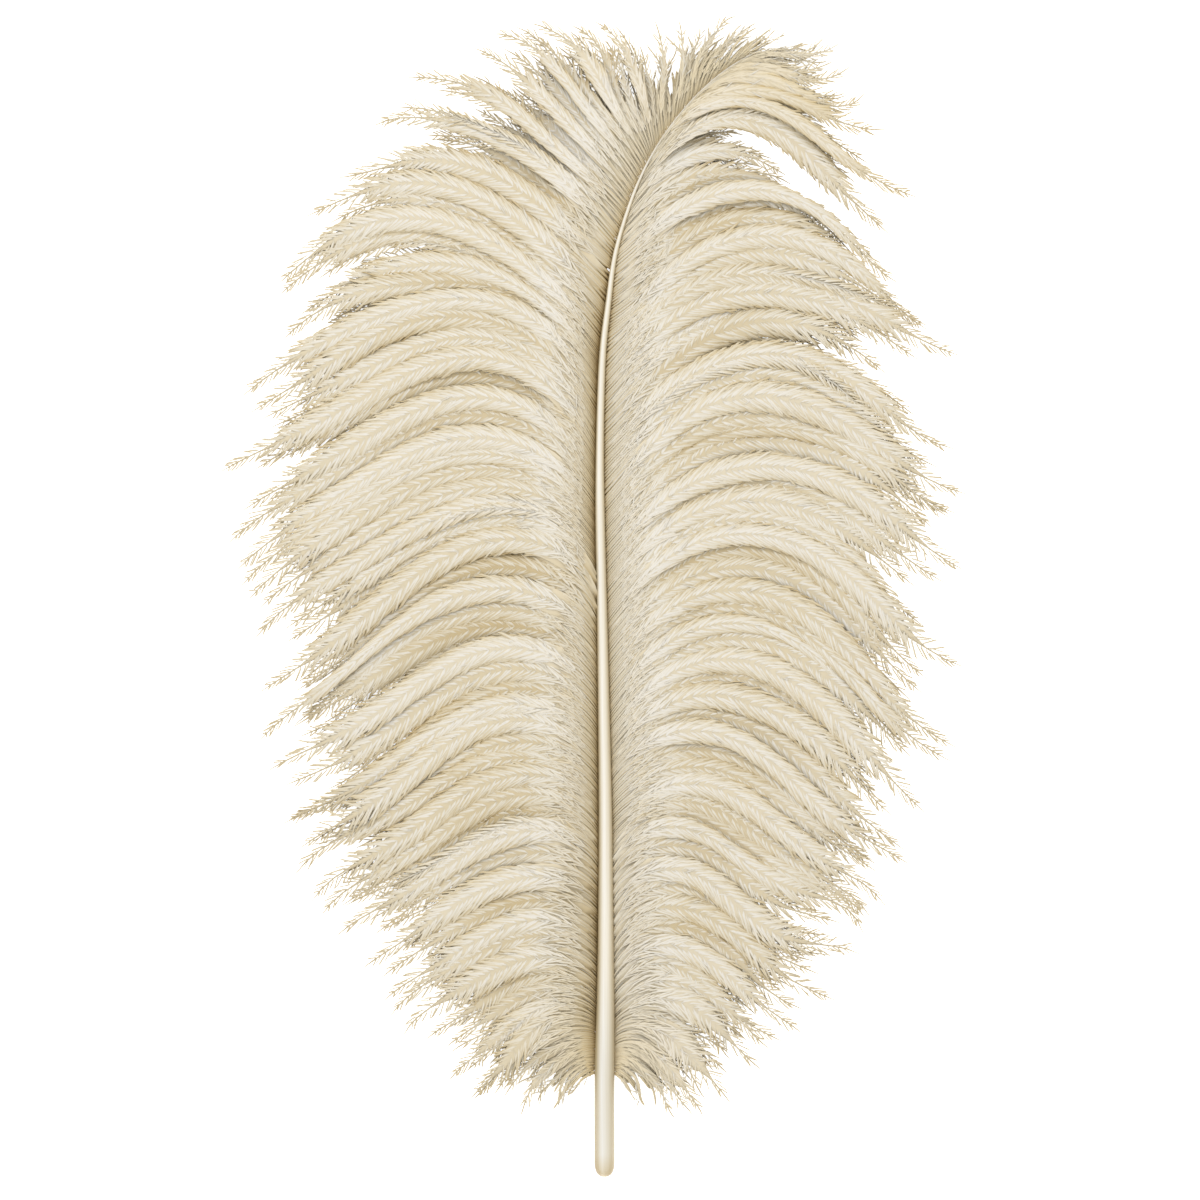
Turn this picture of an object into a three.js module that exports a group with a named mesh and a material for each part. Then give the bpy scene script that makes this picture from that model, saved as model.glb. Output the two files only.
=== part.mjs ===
// A large ostrich wing plume, lying face up on a level surface.
// Millimetres, +Z up, +Y from the quill end to the tip, +X to the right of the shaft.
// The shaft is one tapering tube, laid on the surface at its quill end. The barbs of each side
// are one closed vane solid: flat underneath, arched on top, with a saw edge of barb tips.

import * as THREE from 'three';

// ---- driving dimensions ----
const CLEARANCE = 0.4;           // gap between a vane's inner wall and the shaft
const SHAFT_SIDES = 16;          // facets around the shaft
const SHAFT_RINGS = 60;          // sections along the shaft
const QUILL_ROUND = 7.0;         // length of the rounded quill end
const TIP_ROUND = 1.2;           // length of the rounded shaft tip
const NOTCH_DEPTH = 0.085;       // depth of a notch between two tips, as a share of the barb's length
const SIDE_TIP = 0.965;          // reach of the tips between two long ones
const OPEN_RATIO = 1.3;          // neighbours that differ more than this in length have a gap between them
const RIDGE = 0.55;              // height of the ridges and valleys of the vane's upper face
const PLACE_X = 3.45;              // the plume's place, so that its box stands on the origin
const PLACE_Y = -249.6;

// Shaft centre line: along x and y, height of the centre, half width.
const SHAFT_LINE = [
  [0.0, 0.0, 4.4, 4.4],
  [0.0, 20.6, 4.4, 4.4],
  [0.0, 42.1, 4.4, 4.35],
  [0.5, 76.5, 4.5, 3.95],
  [0.6, 119.5, 4.9, 3.4],
  [0.3, 162.5, 5.4, 2.95],
  [-0.2, 205.5, 5.9, 2.5],
  [-0.9, 248.5, 6.3, 2.15],
  [-1.7, 291.5, 6.6, 1.92],
  [-1.9, 321.6, 6.8, 1.75],
  [-1.7, 338.8, 6.9, 1.65],
  [-0.7, 360.3, 7.0, 1.5],
  [1.5, 377.5, 7.0, 1.3],
  [4.1, 394.7, 7.0, 1.1],
  [8.6, 411.9, 6.9, 0.92],
  [15.0, 429.1, 6.7, 0.78],
  [24.3, 446.3, 6.4, 0.62],
  [37.6, 463.5, 6.0, 0.5],
  [56.1, 479.3, 5.4, 0.42],
  [69.0, 486.3, 5.0, 0.38],
];

// Height of a vane's upper face along a barb: share of the barb's length, height.
const VANE_HEIGHT = [
  [0.00, 6.6],
  [0.05, 9.0],
  [0.13, 11.8],
  [0.25, 12.8],
  [0.40, 11.0],
  [0.56, 8.0],
  [0.72, 5.4],
  [0.87, 3.4],
  [1.00, 1.8],
];

// Barbs: plan curves from the shaft to the tip, in order from the quill to the shaft's tip.
const LEFT_BARBS = [
  [[-4.5, 44.7], [-7.5, 44.3], [-10.5, 42.6], [-16.1, 35.3]],
  [[-4.5, 47.3], [-8.4, 48.2], [-12.7, 46.4], [-18.3, 40.4], [-23.9, 29.2]],
  [[-4.5, 55], [-11.4, 55], [-19.1, 51.6], [-25.6, 47.3], [-32, 40.4], [-38.1, 26.7]],
  [[-4.5, 61.9], [-11.4, 64.5], [-20.9, 63.6], [-29.5, 60.2], [-38.1, 54.6], [-48.8, 44.7], [-58.7, 34.4]],
  [[-4.5, 67.1], [-12.7, 73.1], [-23.4, 75.2], [-35.5, 70.1], [-50.1, 60.2], [-62.1, 50.7], [-69.9, 43]],
  [[-4.5, 83], [-14, 92], [-25.2, 95.9], [-37.2, 94.2], [-52.7, 87.7], [-70.7, 77.4], [-80.2, 71.4], [-88.4, 62.4]],
  [[-4.5, 98], [-12.3, 104.9], [-23.4, 110.9], [-35.5, 111.4], [-52.2, 104.9], [-71.6, 94.6], [-83.6, 86.4], [-96.5, 77]],
  [[-4.5, 117.4], [-12.3, 124.7], [-22.6, 129.4], [-34.6, 129.9], [-49.2, 124.7], [-66.4, 116.1], [-79.3, 108.4], [-93.1, 98.9], [-105.6, 90.3]],
  [[-4.5, 133.3], [-12.3, 142.8], [-22.6, 148.8], [-34.6, 150.1], [-49.2, 146.2], [-66.4, 137.6], [-83.6, 126.4], [-100.8, 116.1], [-117.2, 105.3]],
  [[-4.5, 155.7], [-13.1, 165.1], [-23.4, 171.6], [-35.5, 174.2], [-47.5, 172.4], [-59.6, 166.4], [-76.3, 155.7], [-95.7, 143.6], [-111.6, 133.3], [-127.5, 120.4]],
  [[-4.1, 182.8], [-12.3, 192.6], [-24.3, 200.4], [-37.2, 204.2], [-49.2, 203.4], [-61.3, 198.7], [-73.3, 192.2], [-89.7, 179.7], [-107.7, 168.1], [-125.8, 158.2], [-137.8, 152.7]],
  [[-3.7, 205.5], [-11.4, 215.4], [-22.6, 223.6], [-34.6, 227.9], [-46.7, 227.9], [-58.7, 224.9], [-72.9, 217.6], [-90.1, 206.8], [-109.4, 193.9], [-128.8, 184.9], [-145.1, 177.2]],
  [[-3.7, 227.9], [-11.4, 239.1], [-22.6, 247.2], [-34.6, 251.5], [-46.7, 252.8], [-58.7, 251.1], [-70.7, 246.8], [-85.4, 236.9], [-102.1, 224.5], [-121.5, 210.7], [-138.2, 197.4], [-148.1, 189.6]],
  [[-3.7, 248.5], [-14.8, 265.3], [-27.7, 272.2], [-39.8, 275.6], [-51.4, 274.3], [-61.3, 270.9], [-78, 261], [-97.4, 246.8], [-112, 234.8], [-127.5, 222.7], [-147.3, 210.7]],
  [[-3.7, 266.2], [-13.1, 277.4], [-25.2, 285.5], [-37.2, 289.8], [-49.2, 290.2], [-61.3, 288.5], [-73.3, 283.4], [-87.9, 277.8], [-106.9, 268.3], [-121.5, 258.9], [-139.5, 246.8], [-151.6, 235.2]],
  [[-3.7, 286.4], [-9.7, 295.8], [-19.1, 304], [-30.3, 311.3], [-41.9, 316.9], [-54, 318.6], [-66, 317.3], [-80.6, 313], [-94.8, 305.7], [-112, 295.8], [-127.5, 285.9], [-145.6, 274.3], [-157.6, 263.6]],
  [[-3.2, 312.2], [-9.2, 322.5], [-20.4, 336.7], [-32.5, 345.3], [-44.5, 351.3], [-56.5, 353], [-70.7, 351.3], [-85.4, 345.7], [-102.1, 334.5], [-118.9, 325.1], [-133.5, 319.1], [-148.1, 310.5], [-162.3, 304]],
  [[-2.4, 338], [-10.5, 350], [-20.4, 359.5], [-32.5, 369.4], [-44.5, 375.4], [-56.5, 377.5], [-70.7, 377.5], [-85.4, 374.1], [-102.1, 368.1], [-121.5, 359.1], [-139.5, 348.7], [-153.7, 338]],
  [[-1.1, 359.5], [-10.5, 371.5], [-22.6, 382.3], [-34.6, 391.7], [-46.7, 400.3], [-58.7, 407.2], [-70.7, 411.5], [-85.4, 412.8], [-102.1, 410.2], [-115.5, 404.2], [-130.1, 394.3], [-139.5, 385.3]],
  [[1.1, 375], [-5.8, 383.6], [-17.8, 394.3], [-29.9, 405.5], [-41.9, 414.9], [-54, 422.3], [-66, 427], [-80.6, 428.3], [-97.4, 425.7], [-115.5, 419.7], [-127.1, 413.7]],
  [[3.7, 390.9], [-8.4, 401.2], [-20.4, 411.5], [-32.5, 421], [-44.5, 429.6], [-56.5, 435.2], [-70.7, 437.3], [-85.4, 435.6], [-102.1, 433], [-114.2, 430]],
  [[7.1, 403.3], [-0.6, 412.8], [-8.4, 420.5], [-20.4, 431.3], [-32.5, 440.8], [-44.5, 447.2], [-56.5, 451.5], [-70.7, 455.8], [-85.4, 457.1], [-98.7, 453.2]],
  [[10.1, 414.1], [-1.1, 425.7], [-13.1, 436.4], [-22.6, 445.5], [-32.5, 454.1], [-41.9, 461], [-54, 467.8], [-67.3, 472.6], [-84.5, 474.3]],
  [[12.7, 421.4], [3.7, 432.6], [-5.8, 443.3], [-15.7, 454.1], [-25.2, 463.5], [-34.6, 472.6], [-44.5, 479.9], [-55.7, 485.9]],
  [[15.7, 429.1], [8.4, 439.5], [1.5, 448.9], [-7.1, 460.1], [-15.7, 471.7], [-25.2, 482.5], [-37.2, 489.8], [-48.8, 491.9]],
  [[19.1, 436.4], [13.1, 446.3], [7.1, 455.8], [-0.2, 467.8], [-7.5, 479.4], [-16.6, 489.3], [-31.2, 497.1]],
  [[22.1, 442], [19.6, 454.5], [16.6, 466.6], [12.7, 479.9], [6.7, 491.1], [-2.8, 498.8]],
  [[26, 448.5], [24.7, 457.1], [24.3, 465.7], [24.7, 477.7], [23.9, 489.8], [21.3, 497.5]],
  [[31.6, 455.8], [32.5, 463.5], [33.8, 471.3], [34.6, 479.9], [34.6, 488.5], [32.9, 497.9]],
  [[37.2, 462.2], [38.5, 470], [40.6, 478.2], [44.5, 485], [48.8, 491.9], [56.1, 499.2]],
  [[44.5, 470], [47.9, 477.3], [52.7, 483.8], [58.7, 489.8], [65.1, 494.5]],
  [[54.4, 478.6], [59.1, 483.8], [64.3, 488.3], [70.7, 493.6]],
  [[63.9, 485], [67.3, 487.8], [71.6, 490], [76.8, 492.3]],
];
const RIGHT_BARBS = [
  [[4.5, 44.7], [7.1, 43.9], [10.1, 41.3], [15.3, 33.1]],
  [[4.5, 49.9], [10.1, 52], [15.3, 49.4], [21.3, 43.4], [27.3, 34], [32, 25.4]],
  [[4.9, 54.2], [10.1, 58], [17.4, 58], [24.7, 53.3], [32, 44.7], [39.3, 35.3], [45.4, 27.1]],
  [[4.9, 59.3], [12.7, 65.4], [21.3, 65.4], [29.5, 60.6], [39.3, 52], [47.5, 41.3], [54.8, 31.8]],
  [[4.9, 65.8], [12.7, 73.5], [22.1, 77.4], [32, 77.4], [41.5, 72.7], [51.4, 65.4], [60.8, 54.6], [68.6, 46.4]],
  [[4.9, 83], [11, 92.9], [20, 98.9], [29.5, 100.2], [39.3, 97.6], [48.8, 91.6], [60.8, 80.8], [72.9, 71.4], [85.8, 62.4]],
  [[4.9, 97.2], [11, 107.5], [20, 114.4], [29.5, 117], [39.3, 115.2], [48.8, 110.1], [60.4, 102.3], [73.3, 91.6], [86.6, 83.4], [100, 77.8]],
  [[4.5, 115.2], [10.1, 124.3], [20, 131.6], [29.5, 133.7], [39.3, 131.6], [48.8, 126.8], [58.3, 119.5], [68.2, 110.1], [81.9, 103.6], [97, 100.2], [109.9, 96.8]],
  [[4.5, 133.3], [11, 142.8], [21.3, 149.6], [32.5, 151.8], [43.6, 148.8], [55.7, 141], [67.7, 131.6], [81.5, 126], [97, 119.5], [112.9, 107.1]],
  [[4.1, 151.8], [12.7, 160], [24.7, 166.8], [36.8, 169.8], [48.8, 168.1], [60.8, 162.5], [72.9, 153.1], [84.9, 144.5], [97, 136.7], [109, 128.1], [120.2, 117.8]],
  [[3.2, 171.1], [11, 180.6], [22.1, 188.3], [34.2, 192.2], [46.2, 192.6], [58.3, 188.3], [70.3, 181], [82.3, 171.1], [95.2, 159.1], [109, 148.8], [130.5, 135.9]],
  [[2.8, 190.5], [9.2, 199.9], [21.3, 210.7], [33.3, 218], [45.4, 222.7], [57.4, 224], [69.4, 220.2], [81.5, 214.1], [93.5, 204.7], [103, 194.8], [115, 181.9], [127.1, 169], [137, 158.7]],
  [[1.9, 217.6], [9.2, 227.5], [21.3, 238.2], [33.3, 246.8], [45.4, 251.5], [57.4, 252.8], [69.4, 251.5], [81.5, 248.1], [93.5, 236.9], [103, 227.5], [115, 215.4], [127.1, 204.7], [139.1, 193.9], [150.3, 187]],
  [[1.5, 239.1], [9.2, 249], [21.3, 261], [33.3, 269.6], [45.4, 274.3], [57.4, 276.9], [69.4, 277.4], [81.5, 274.3], [93.5, 268.3], [105.6, 258.9], [117.6, 248.1], [129.6, 236.9], [141.7, 227.5], [153.3, 221]],
  [[1.1, 264.9], [9.2, 274.3], [21.3, 286.4], [33.3, 295], [45.4, 301], [57.4, 304.4], [69.4, 305.7], [83.2, 304.4], [96.1, 301], [108.1, 295], [120.2, 287.7], [132.2, 278.2], [144.3, 269.2], [154.2, 263.2]],
  [[0.6, 291.5], [9.2, 302.3], [21.3, 314.3], [33.3, 323.8], [45.4, 331.5], [57.4, 335.8], [69.4, 337.1], [81.5, 335.8], [93.5, 331.1], [105.6, 322.5], [120.2, 314.3], [132.2, 307], [144.3, 300.6], [155.4, 295.4]],
  [[0.6, 312.2], [9.2, 321.6], [21.3, 332], [33.3, 340.6], [45.4, 347], [57.4, 352.6], [69.4, 354.8], [81.5, 355.2], [93.5, 351.3], [105.6, 343.1], [115, 335.8], [127.1, 328.1], [139.1, 321.2], [151.6, 314.3]],
  [[0.2, 346.6], [9.2, 357.3], [21.3, 368.9], [33.3, 378.4], [45.4, 385.7], [57.4, 389.1], [69.4, 388.7], [81.5, 387], [93.5, 383.1], [105.6, 377.1], [117.6, 370.2], [129.6, 363.8], [141.7, 358.2], [153.3, 353]],
  [[1.1, 366.8], [11.8, 374.1], [21.3, 382.3], [33.3, 392.2], [45.4, 399], [57.4, 403.3], [69.4, 404.6], [81.5, 403.3], [93.5, 398.6], [103.8, 392.2], [114.2, 384.4], [126.2, 374.5], [139.1, 364.6]],
  [[5.8, 393.9], [11.8, 399], [21.3, 406.8], [33.3, 415.4], [45.4, 421], [57.4, 424.4], [69.4, 425.7], [81.5, 422.7], [93.5, 415.8], [105.6, 405.5], [117.6, 394.3], [128.4, 385.3]],
  [[11.8, 416.2], [18.7, 424.8], [27.3, 432.6], [39.3, 438.6], [51.4, 441.2], [62.6, 440.3], [72.9, 436.9], [80.6, 433]],
  [[15.7, 427.4], [21.7, 435.2], [29, 442], [39.3, 449.3], [50.1, 454.1], [60.8, 454.9], [72, 451.9], [81.5, 446.3], [88.8, 437.7], [96.1, 430.4], [105.6, 423.6], [115, 414.9], [124.1, 405.5]],
  [[22.1, 440.3], [30.3, 451.1], [41.9, 458.4], [54, 461.8], [64.3, 461.8], [75.5, 458.8], [86.2, 451.1], [98.3, 441.6], [111.6, 432.6], [123.6, 425.7], [135.7, 421.4]],
  [[27.7, 448.5], [36.8, 458.4], [47.5, 464.4], [60, 466.6], [72, 465.7], [86.2, 460.5], [98.3, 454.9], [110.3, 451.9], [122.3, 451.5]],
  [[36.8, 460.1], [46.2, 467.8], [57.4, 471.7], [69.4, 471.7], [81.5, 467.8], [93.5, 461.8], [103, 459.7], [113.3, 464.8]],
  [[46.2, 469.6], [56.1, 475.6], [66.9, 476.9], [76.8, 475.1], [87.5, 472.6], [96.1, 473], [103.8, 476.9]],
  [[57.4, 478.2], [66.9, 481.6], [76.8, 482], [88.8, 481.6], [100, 485]],
  [[65.6, 484], [71.6, 485], [78.5, 486.3], [87.1, 488.1]],
];

// ---- helpers ----
const lerp = (a, b, w) => a + (b - a) * w;

function table(rows, x) {
  if (x <= rows[0][0]) return rows[0].slice(1);
  for (let i = 1; i < rows.length; i++) {
    if (x <= rows[i][0]) {
      const w = (x - rows[i - 1][0]) / (rows[i][0] - rows[i - 1][0]);
      return rows[i].slice(1).map((v, k) => lerp(rows[i - 1][k + 1], v, w));
    }
  }
  return rows[rows.length - 1].slice(1);
}

function closedMesh(name, vertices, triangles, material) {
  const geometry = new THREE.BufferGeometry();
  geometry.setAttribute('position', new THREE.Float32BufferAttribute(vertices.flat(), 3));
  geometry.setIndex(triangles.flat());
  geometry.computeVertexNormals();
  const mesh = new THREE.Mesh(geometry, material);
  mesh.name = name;
  return mesh;
}

// ---- shaft ----
const shaftCurve = new THREE.CatmullRomCurve3(
  SHAFT_LINE.map(([x, y, z]) => new THREE.Vector3(x, y, z)), false, 'centripetal');
shaftCurve.arcLengthDivisions = 2000;
const shaftLength = shaftCurve.getLength();

// half width against the distance along the shaft
const widthTable = (() => {
  const n = SHAFT_LINE.length - 1;
  const lengths = shaftCurve.getLengths(2000);
  return SHAFT_LINE.map((row, i) => [lengths[Math.round((i / n) * 2000)], row[3]]);
})();
const halfWidth = (d) => table(widthTable, d)[0];

function shaftAt(d) {
  const u = Math.min(Math.max(d / shaftLength, 0), 1);
  const p = shaftCurve.getPointAt(u);
  const t = shaftCurve.getTangentAt(u);
  const side = new THREE.Vector3(t.y, -t.x, 0).normalize();   // to the right of the shaft
  return { p, t, side };
}

function buildShaft(material) {
  const stations = [];
  const endSteps = 5;
  for (let i = 1; i <= endSteps; i++) {
    const a = (i / endSteps) * Math.PI / 2;
    stations.push([QUILL_ROUND * (1 - Math.cos(a)), Math.sin(a)]);
  }
  for (let i = 1; i < SHAFT_RINGS; i++) {
    stations.push([lerp(QUILL_ROUND, shaftLength - TIP_ROUND, i / SHAFT_RINGS), 1]);
  }
  stations.push([shaftLength - TIP_ROUND, 1], [shaftLength - TIP_ROUND * 0.35, 0.75]);

  const vertices = [];
  const triangles = [];
  for (const [d, share] of stations) {
    const { p, t, side } = shaftAt(d);
    const up = new THREE.Vector3().crossVectors(side, t).normalize();
    const r = halfWidth(d) * share;
    for (let k = 0; k < SHAFT_SIDES; k++) {
      const a = (2 * Math.PI * k) / SHAFT_SIDES;
      const q = p.clone().addScaledVector(side, r * Math.cos(a)).addScaledVector(up, r * Math.sin(a));
      vertices.push([q.x, q.y, Math.max(q.z, 0)]);
    }
  }
  const rings = stations.length;
  for (let i = 0; i < rings - 1; i++) {
    for (let k = 0; k < SHAFT_SIDES; k++) {
      const a = i * SHAFT_SIDES + k;
      const b = i * SHAFT_SIDES + ((k + 1) % SHAFT_SIDES);
      triangles.push([a, b + SHAFT_SIDES, b], [a, a + SHAFT_SIDES, b + SHAFT_SIDES]);
    }
  }
  const start = vertices.length;
  const p0 = shaftAt(0).p;
  const p1 = shaftAt(shaftLength).p;
  vertices.push([p0.x, p0.y, p0.z], [p1.x, p1.y, p1.z]);
  for (let k = 0; k < SHAFT_SIDES; k++) {
    const n = (k + 1) % SHAFT_SIDES;
    triangles.push([start, k, n]);
    triangles.push([start + 1, (rings - 1) * SHAFT_SIDES + n, (rings - 1) * SHAFT_SIDES + k]);
  }
  return { vertices, triangles, material };
}

// ---- vanes ----
// distance along the shaft of the point nearest to (x, y)
function nearestOnShaft(x, y) {
  let best = 0;
  let bestD = Infinity;
  const steps = 1500;
  for (let i = 0; i <= steps; i++) {
    const p = shaftSamples[i];
    const d = (p.x - x) ** 2 + (p.y - y) ** 2;
    if (d < bestD) { bestD = d; best = i; }
  }
  return (best / steps) * shaftLength;
}
const shaftSamples = shaftCurve.getSpacedPoints(1500);

// one barb's plan curve as a function of the share of its length
function barbCurve(points) {
  const curve = new THREE.CatmullRomCurve3(
    points.map(([x, y]) => new THREE.Vector3(x, y, 0)), false, 'centripetal');
  curve.arcLengthDivisions = 300;
  return (s) => curve.getPointAt(Math.min(Math.max(s, 0), 1));
}

function buildVane(barbs, sign, material) {
  const roots = barbs.map((b) => nearestOnShaft(b[0][0], b[0][1]));
  const curves = barbs.map(barbCurve);
  const lengths = curves.map((curve) => {
    let length = 0;
    for (let k = 0; k < 40; k++) length += curve(k / 40).distanceTo(curve((k + 1) / 40));
    return length;
  });

  // columns: the barbs of the table with a notch, a side tip and a notch between each two
  const columns = [];
  for (let i = 0; i < barbs.length; i++) {
    columns.push({ i, w: 0, reach: 1, ridge: 1 });
    if (i === barbs.length - 1) break;
    const a = curves[i](1);
    const b = curves[i + 1](1);
    const spread = Math.hypot(a.x - b.x, a.y - b.y);
    const between = curves[i](0.4).distanceTo(curves[i + 1](0.4));
    const ratio = lengths[i] / lengths[i + 1];
    if (ratio > OPEN_RATIO || ratio < 1 / OPEN_RATIO) continue;   // an open gap between long and short barbs
    if (spread > 16 && between > 6) {
      columns.push({ i, w: 0.25, reach: SIDE_TIP - NOTCH_DEPTH, ridge: -1 });
      columns.push({ i, w: 0.5, reach: SIDE_TIP, ridge: 1 });
      columns.push({ i, w: 0.75, reach: SIDE_TIP - NOTCH_DEPTH, ridge: -1 });
    } else {
      columns.push({ i, w: 0.5, reach: 1 - NOTCH_DEPTH, ridge: -1 });
    }
  }

  const shares = VANE_HEIGHT.map((row) => row[0]);
  const rows = shares.length;
  const top = [];
  const bottom = [];
  for (const { i, w, reach, ridge } of columns) {
    const j = Math.min(i + 1, barbs.length - 1);
    const d = lerp(roots[i], roots[j], w);
    const { p, side } = shaftAt(d);
    const root = p.clone().addScaledVector(side, sign * (halfWidth(d) + CLEARANCE));
    const a0 = curves[i](0);
    const b0 = curves[j](0);
    const shift = root.clone().sub(new THREE.Vector3(lerp(a0.x, b0.x, w), lerp(a0.y, b0.y, w), root.z));
    for (const s of shares) {
      const a = curves[i](s * reach);
      const b = curves[j](s * reach);
      const x = lerp(a.x, b.x, w) + shift.x * (1 - s) ** 2;
      const y = lerp(a.y, b.y, w) + shift.y * (1 - s) ** 2;
      const swell = RIDGE * ridge * Math.sin(Math.PI * Math.min(1, s * 1.15)) ** 0.7;
      const z = table(VANE_HEIGHT, s)[0] + (Number.isFinite(swell) ? swell : 0);
      top.push([x, y, z]);
      bottom.push([x, y, 0]);
    }
  }

  const vertices = top.concat(bottom);
  const offset = top.length;
  const triangles = [];
  const add = (a, b, c) => triangles.push(sign > 0 ? [a, b, c] : [a, c, b]);
  for (let c = 0; c < columns.length - 1; c++) {
    for (let r = 0; r < rows - 1; r++) {
      const a = c * rows + r;
      const b = a + 1;
      const e = a + rows;
      const f = e + 1;
      // the diagonal that leaves the fatter triangles in plan
      const plan = (u, v, w) => sign * ((top[v][0] - top[u][0]) * (top[w][1] - top[u][1])
        - (top[w][0] - top[u][0]) * (top[v][1] - top[u][1]));
      const halves = Math.min(plan(a, b, f), plan(a, f, e)) >= Math.min(plan(a, b, e), plan(b, f, e))
        ? [[a, b, f], [a, f, e]] : [[a, b, e], [b, f, e]];
      for (const [u, v, w] of halves) {
        add(u, v, w);
        add(offset + u, offset + w, offset + v);
      }
    }
    // inner wall and saw edge
    const a = c * rows;
    const e = a + rows;
    add(a, e, offset + e); add(a, offset + e, offset + a);
    const b = a + rows - 1;
    const f = e + rows - 1;
    add(b, offset + b, offset + f); add(b, offset + f, f);
  }
  const last = (columns.length - 1) * rows;
  for (let r = 0; r < rows - 1; r++) {
    add(r, offset + r, offset + r + 1); add(r, offset + r + 1, r + 1);
    const a = last + r;
    add(a, a + 1, offset + a + 1); add(a, offset + a + 1, offset + a);
  }
  return { vertices, triangles, material };
}

// ---- materials ----
const ivory = new THREE.MeshStandardMaterial({ color: 0xe9dfc6, roughness: 0.32, metalness: 0 });
const plume = new THREE.MeshStandardMaterial({ color: 0xe0d3b8, roughness: 0.85, metalness: 0 });

// ---- assembly ----
const pieces = {
  shaft: buildShaft(ivory),
  vane_left: buildVane(LEFT_BARBS, -1, plume),
  vane_right: buildVane(RIGHT_BARBS, 1, plume),
};

const feather = new THREE.Group();
feather.name = 'ostrich_feather';
for (const [name, piece] of Object.entries(pieces)) {
  feather.add(closedMesh(name, piece.vertices, piece.triangles, piece.material));
}
feather.position.set(PLACE_X, PLACE_Y, 0);
feather.updateMatrixWorld(true);

export default feather;
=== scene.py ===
# An ostrich wing plume lying on a pale floor, seen from straight above.
# The shaft is one tapering tube. The vanes are meshes of separate barbs: each barb is a thin ramus with two-sided
# rows of barbules, and the barbs gather in ropes that overlap in an upper and a lower layer.
import math

import bpy
import numpy as np
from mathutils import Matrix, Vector


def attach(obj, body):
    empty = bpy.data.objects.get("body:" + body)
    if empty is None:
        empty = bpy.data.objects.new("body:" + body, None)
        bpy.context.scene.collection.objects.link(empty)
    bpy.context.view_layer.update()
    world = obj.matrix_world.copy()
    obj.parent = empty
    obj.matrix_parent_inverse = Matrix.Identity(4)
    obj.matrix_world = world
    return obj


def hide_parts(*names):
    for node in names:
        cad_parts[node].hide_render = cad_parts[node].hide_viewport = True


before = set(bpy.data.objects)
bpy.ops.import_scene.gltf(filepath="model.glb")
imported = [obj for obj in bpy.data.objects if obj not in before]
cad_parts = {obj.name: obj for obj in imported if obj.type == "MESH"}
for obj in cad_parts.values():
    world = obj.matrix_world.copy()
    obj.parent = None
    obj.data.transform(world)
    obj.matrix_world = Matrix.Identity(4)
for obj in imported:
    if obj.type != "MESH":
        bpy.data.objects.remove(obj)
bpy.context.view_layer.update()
rng = np.random.default_rng(20)

MM = 0.001
PLACE = np.array([3.45, -249.6])      # the plume's place in the row frame, mm

# ---------------------------------------------------------------- shape data, mm, as in the CAD
SHAFT_LINE = np.array([
    [0.0, 0.0, 4.4, 4.4],
    [0.0, 20.6, 4.4, 4.4],
    [0.0, 42.1, 4.4, 4.35],
    [0.5, 76.5, 4.5, 3.95],
    [0.6, 119.5, 4.9, 3.4],
    [0.3, 162.5, 5.4, 2.95],
    [-0.4, 205.5, 5.9, 2.6],
    [-1.2, 248.5, 6.3, 2.3],
    [-2.0, 291.5, 6.6, 2.05],
    [-1.9, 321.6, 6.8, 1.75],
    [-1.5, 338.8, 6.9, 1.65],
    [-0.3, 360.3, 7.0, 1.5],
    [1.8, 377.5, 7.0, 1.3],
    [4.1, 394.7, 7.0, 1.1],
    [8.6, 411.9, 6.9, 0.92],
    [15.0, 429.1, 6.7, 0.78],
    [24.3, 446.3, 6.4, 0.62],
    [37.6, 463.5, 6.0, 0.5],
    [56.1, 479.3, 5.4, 0.42],
    [69.0, 486.3, 5.0, 0.38],
])
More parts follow.
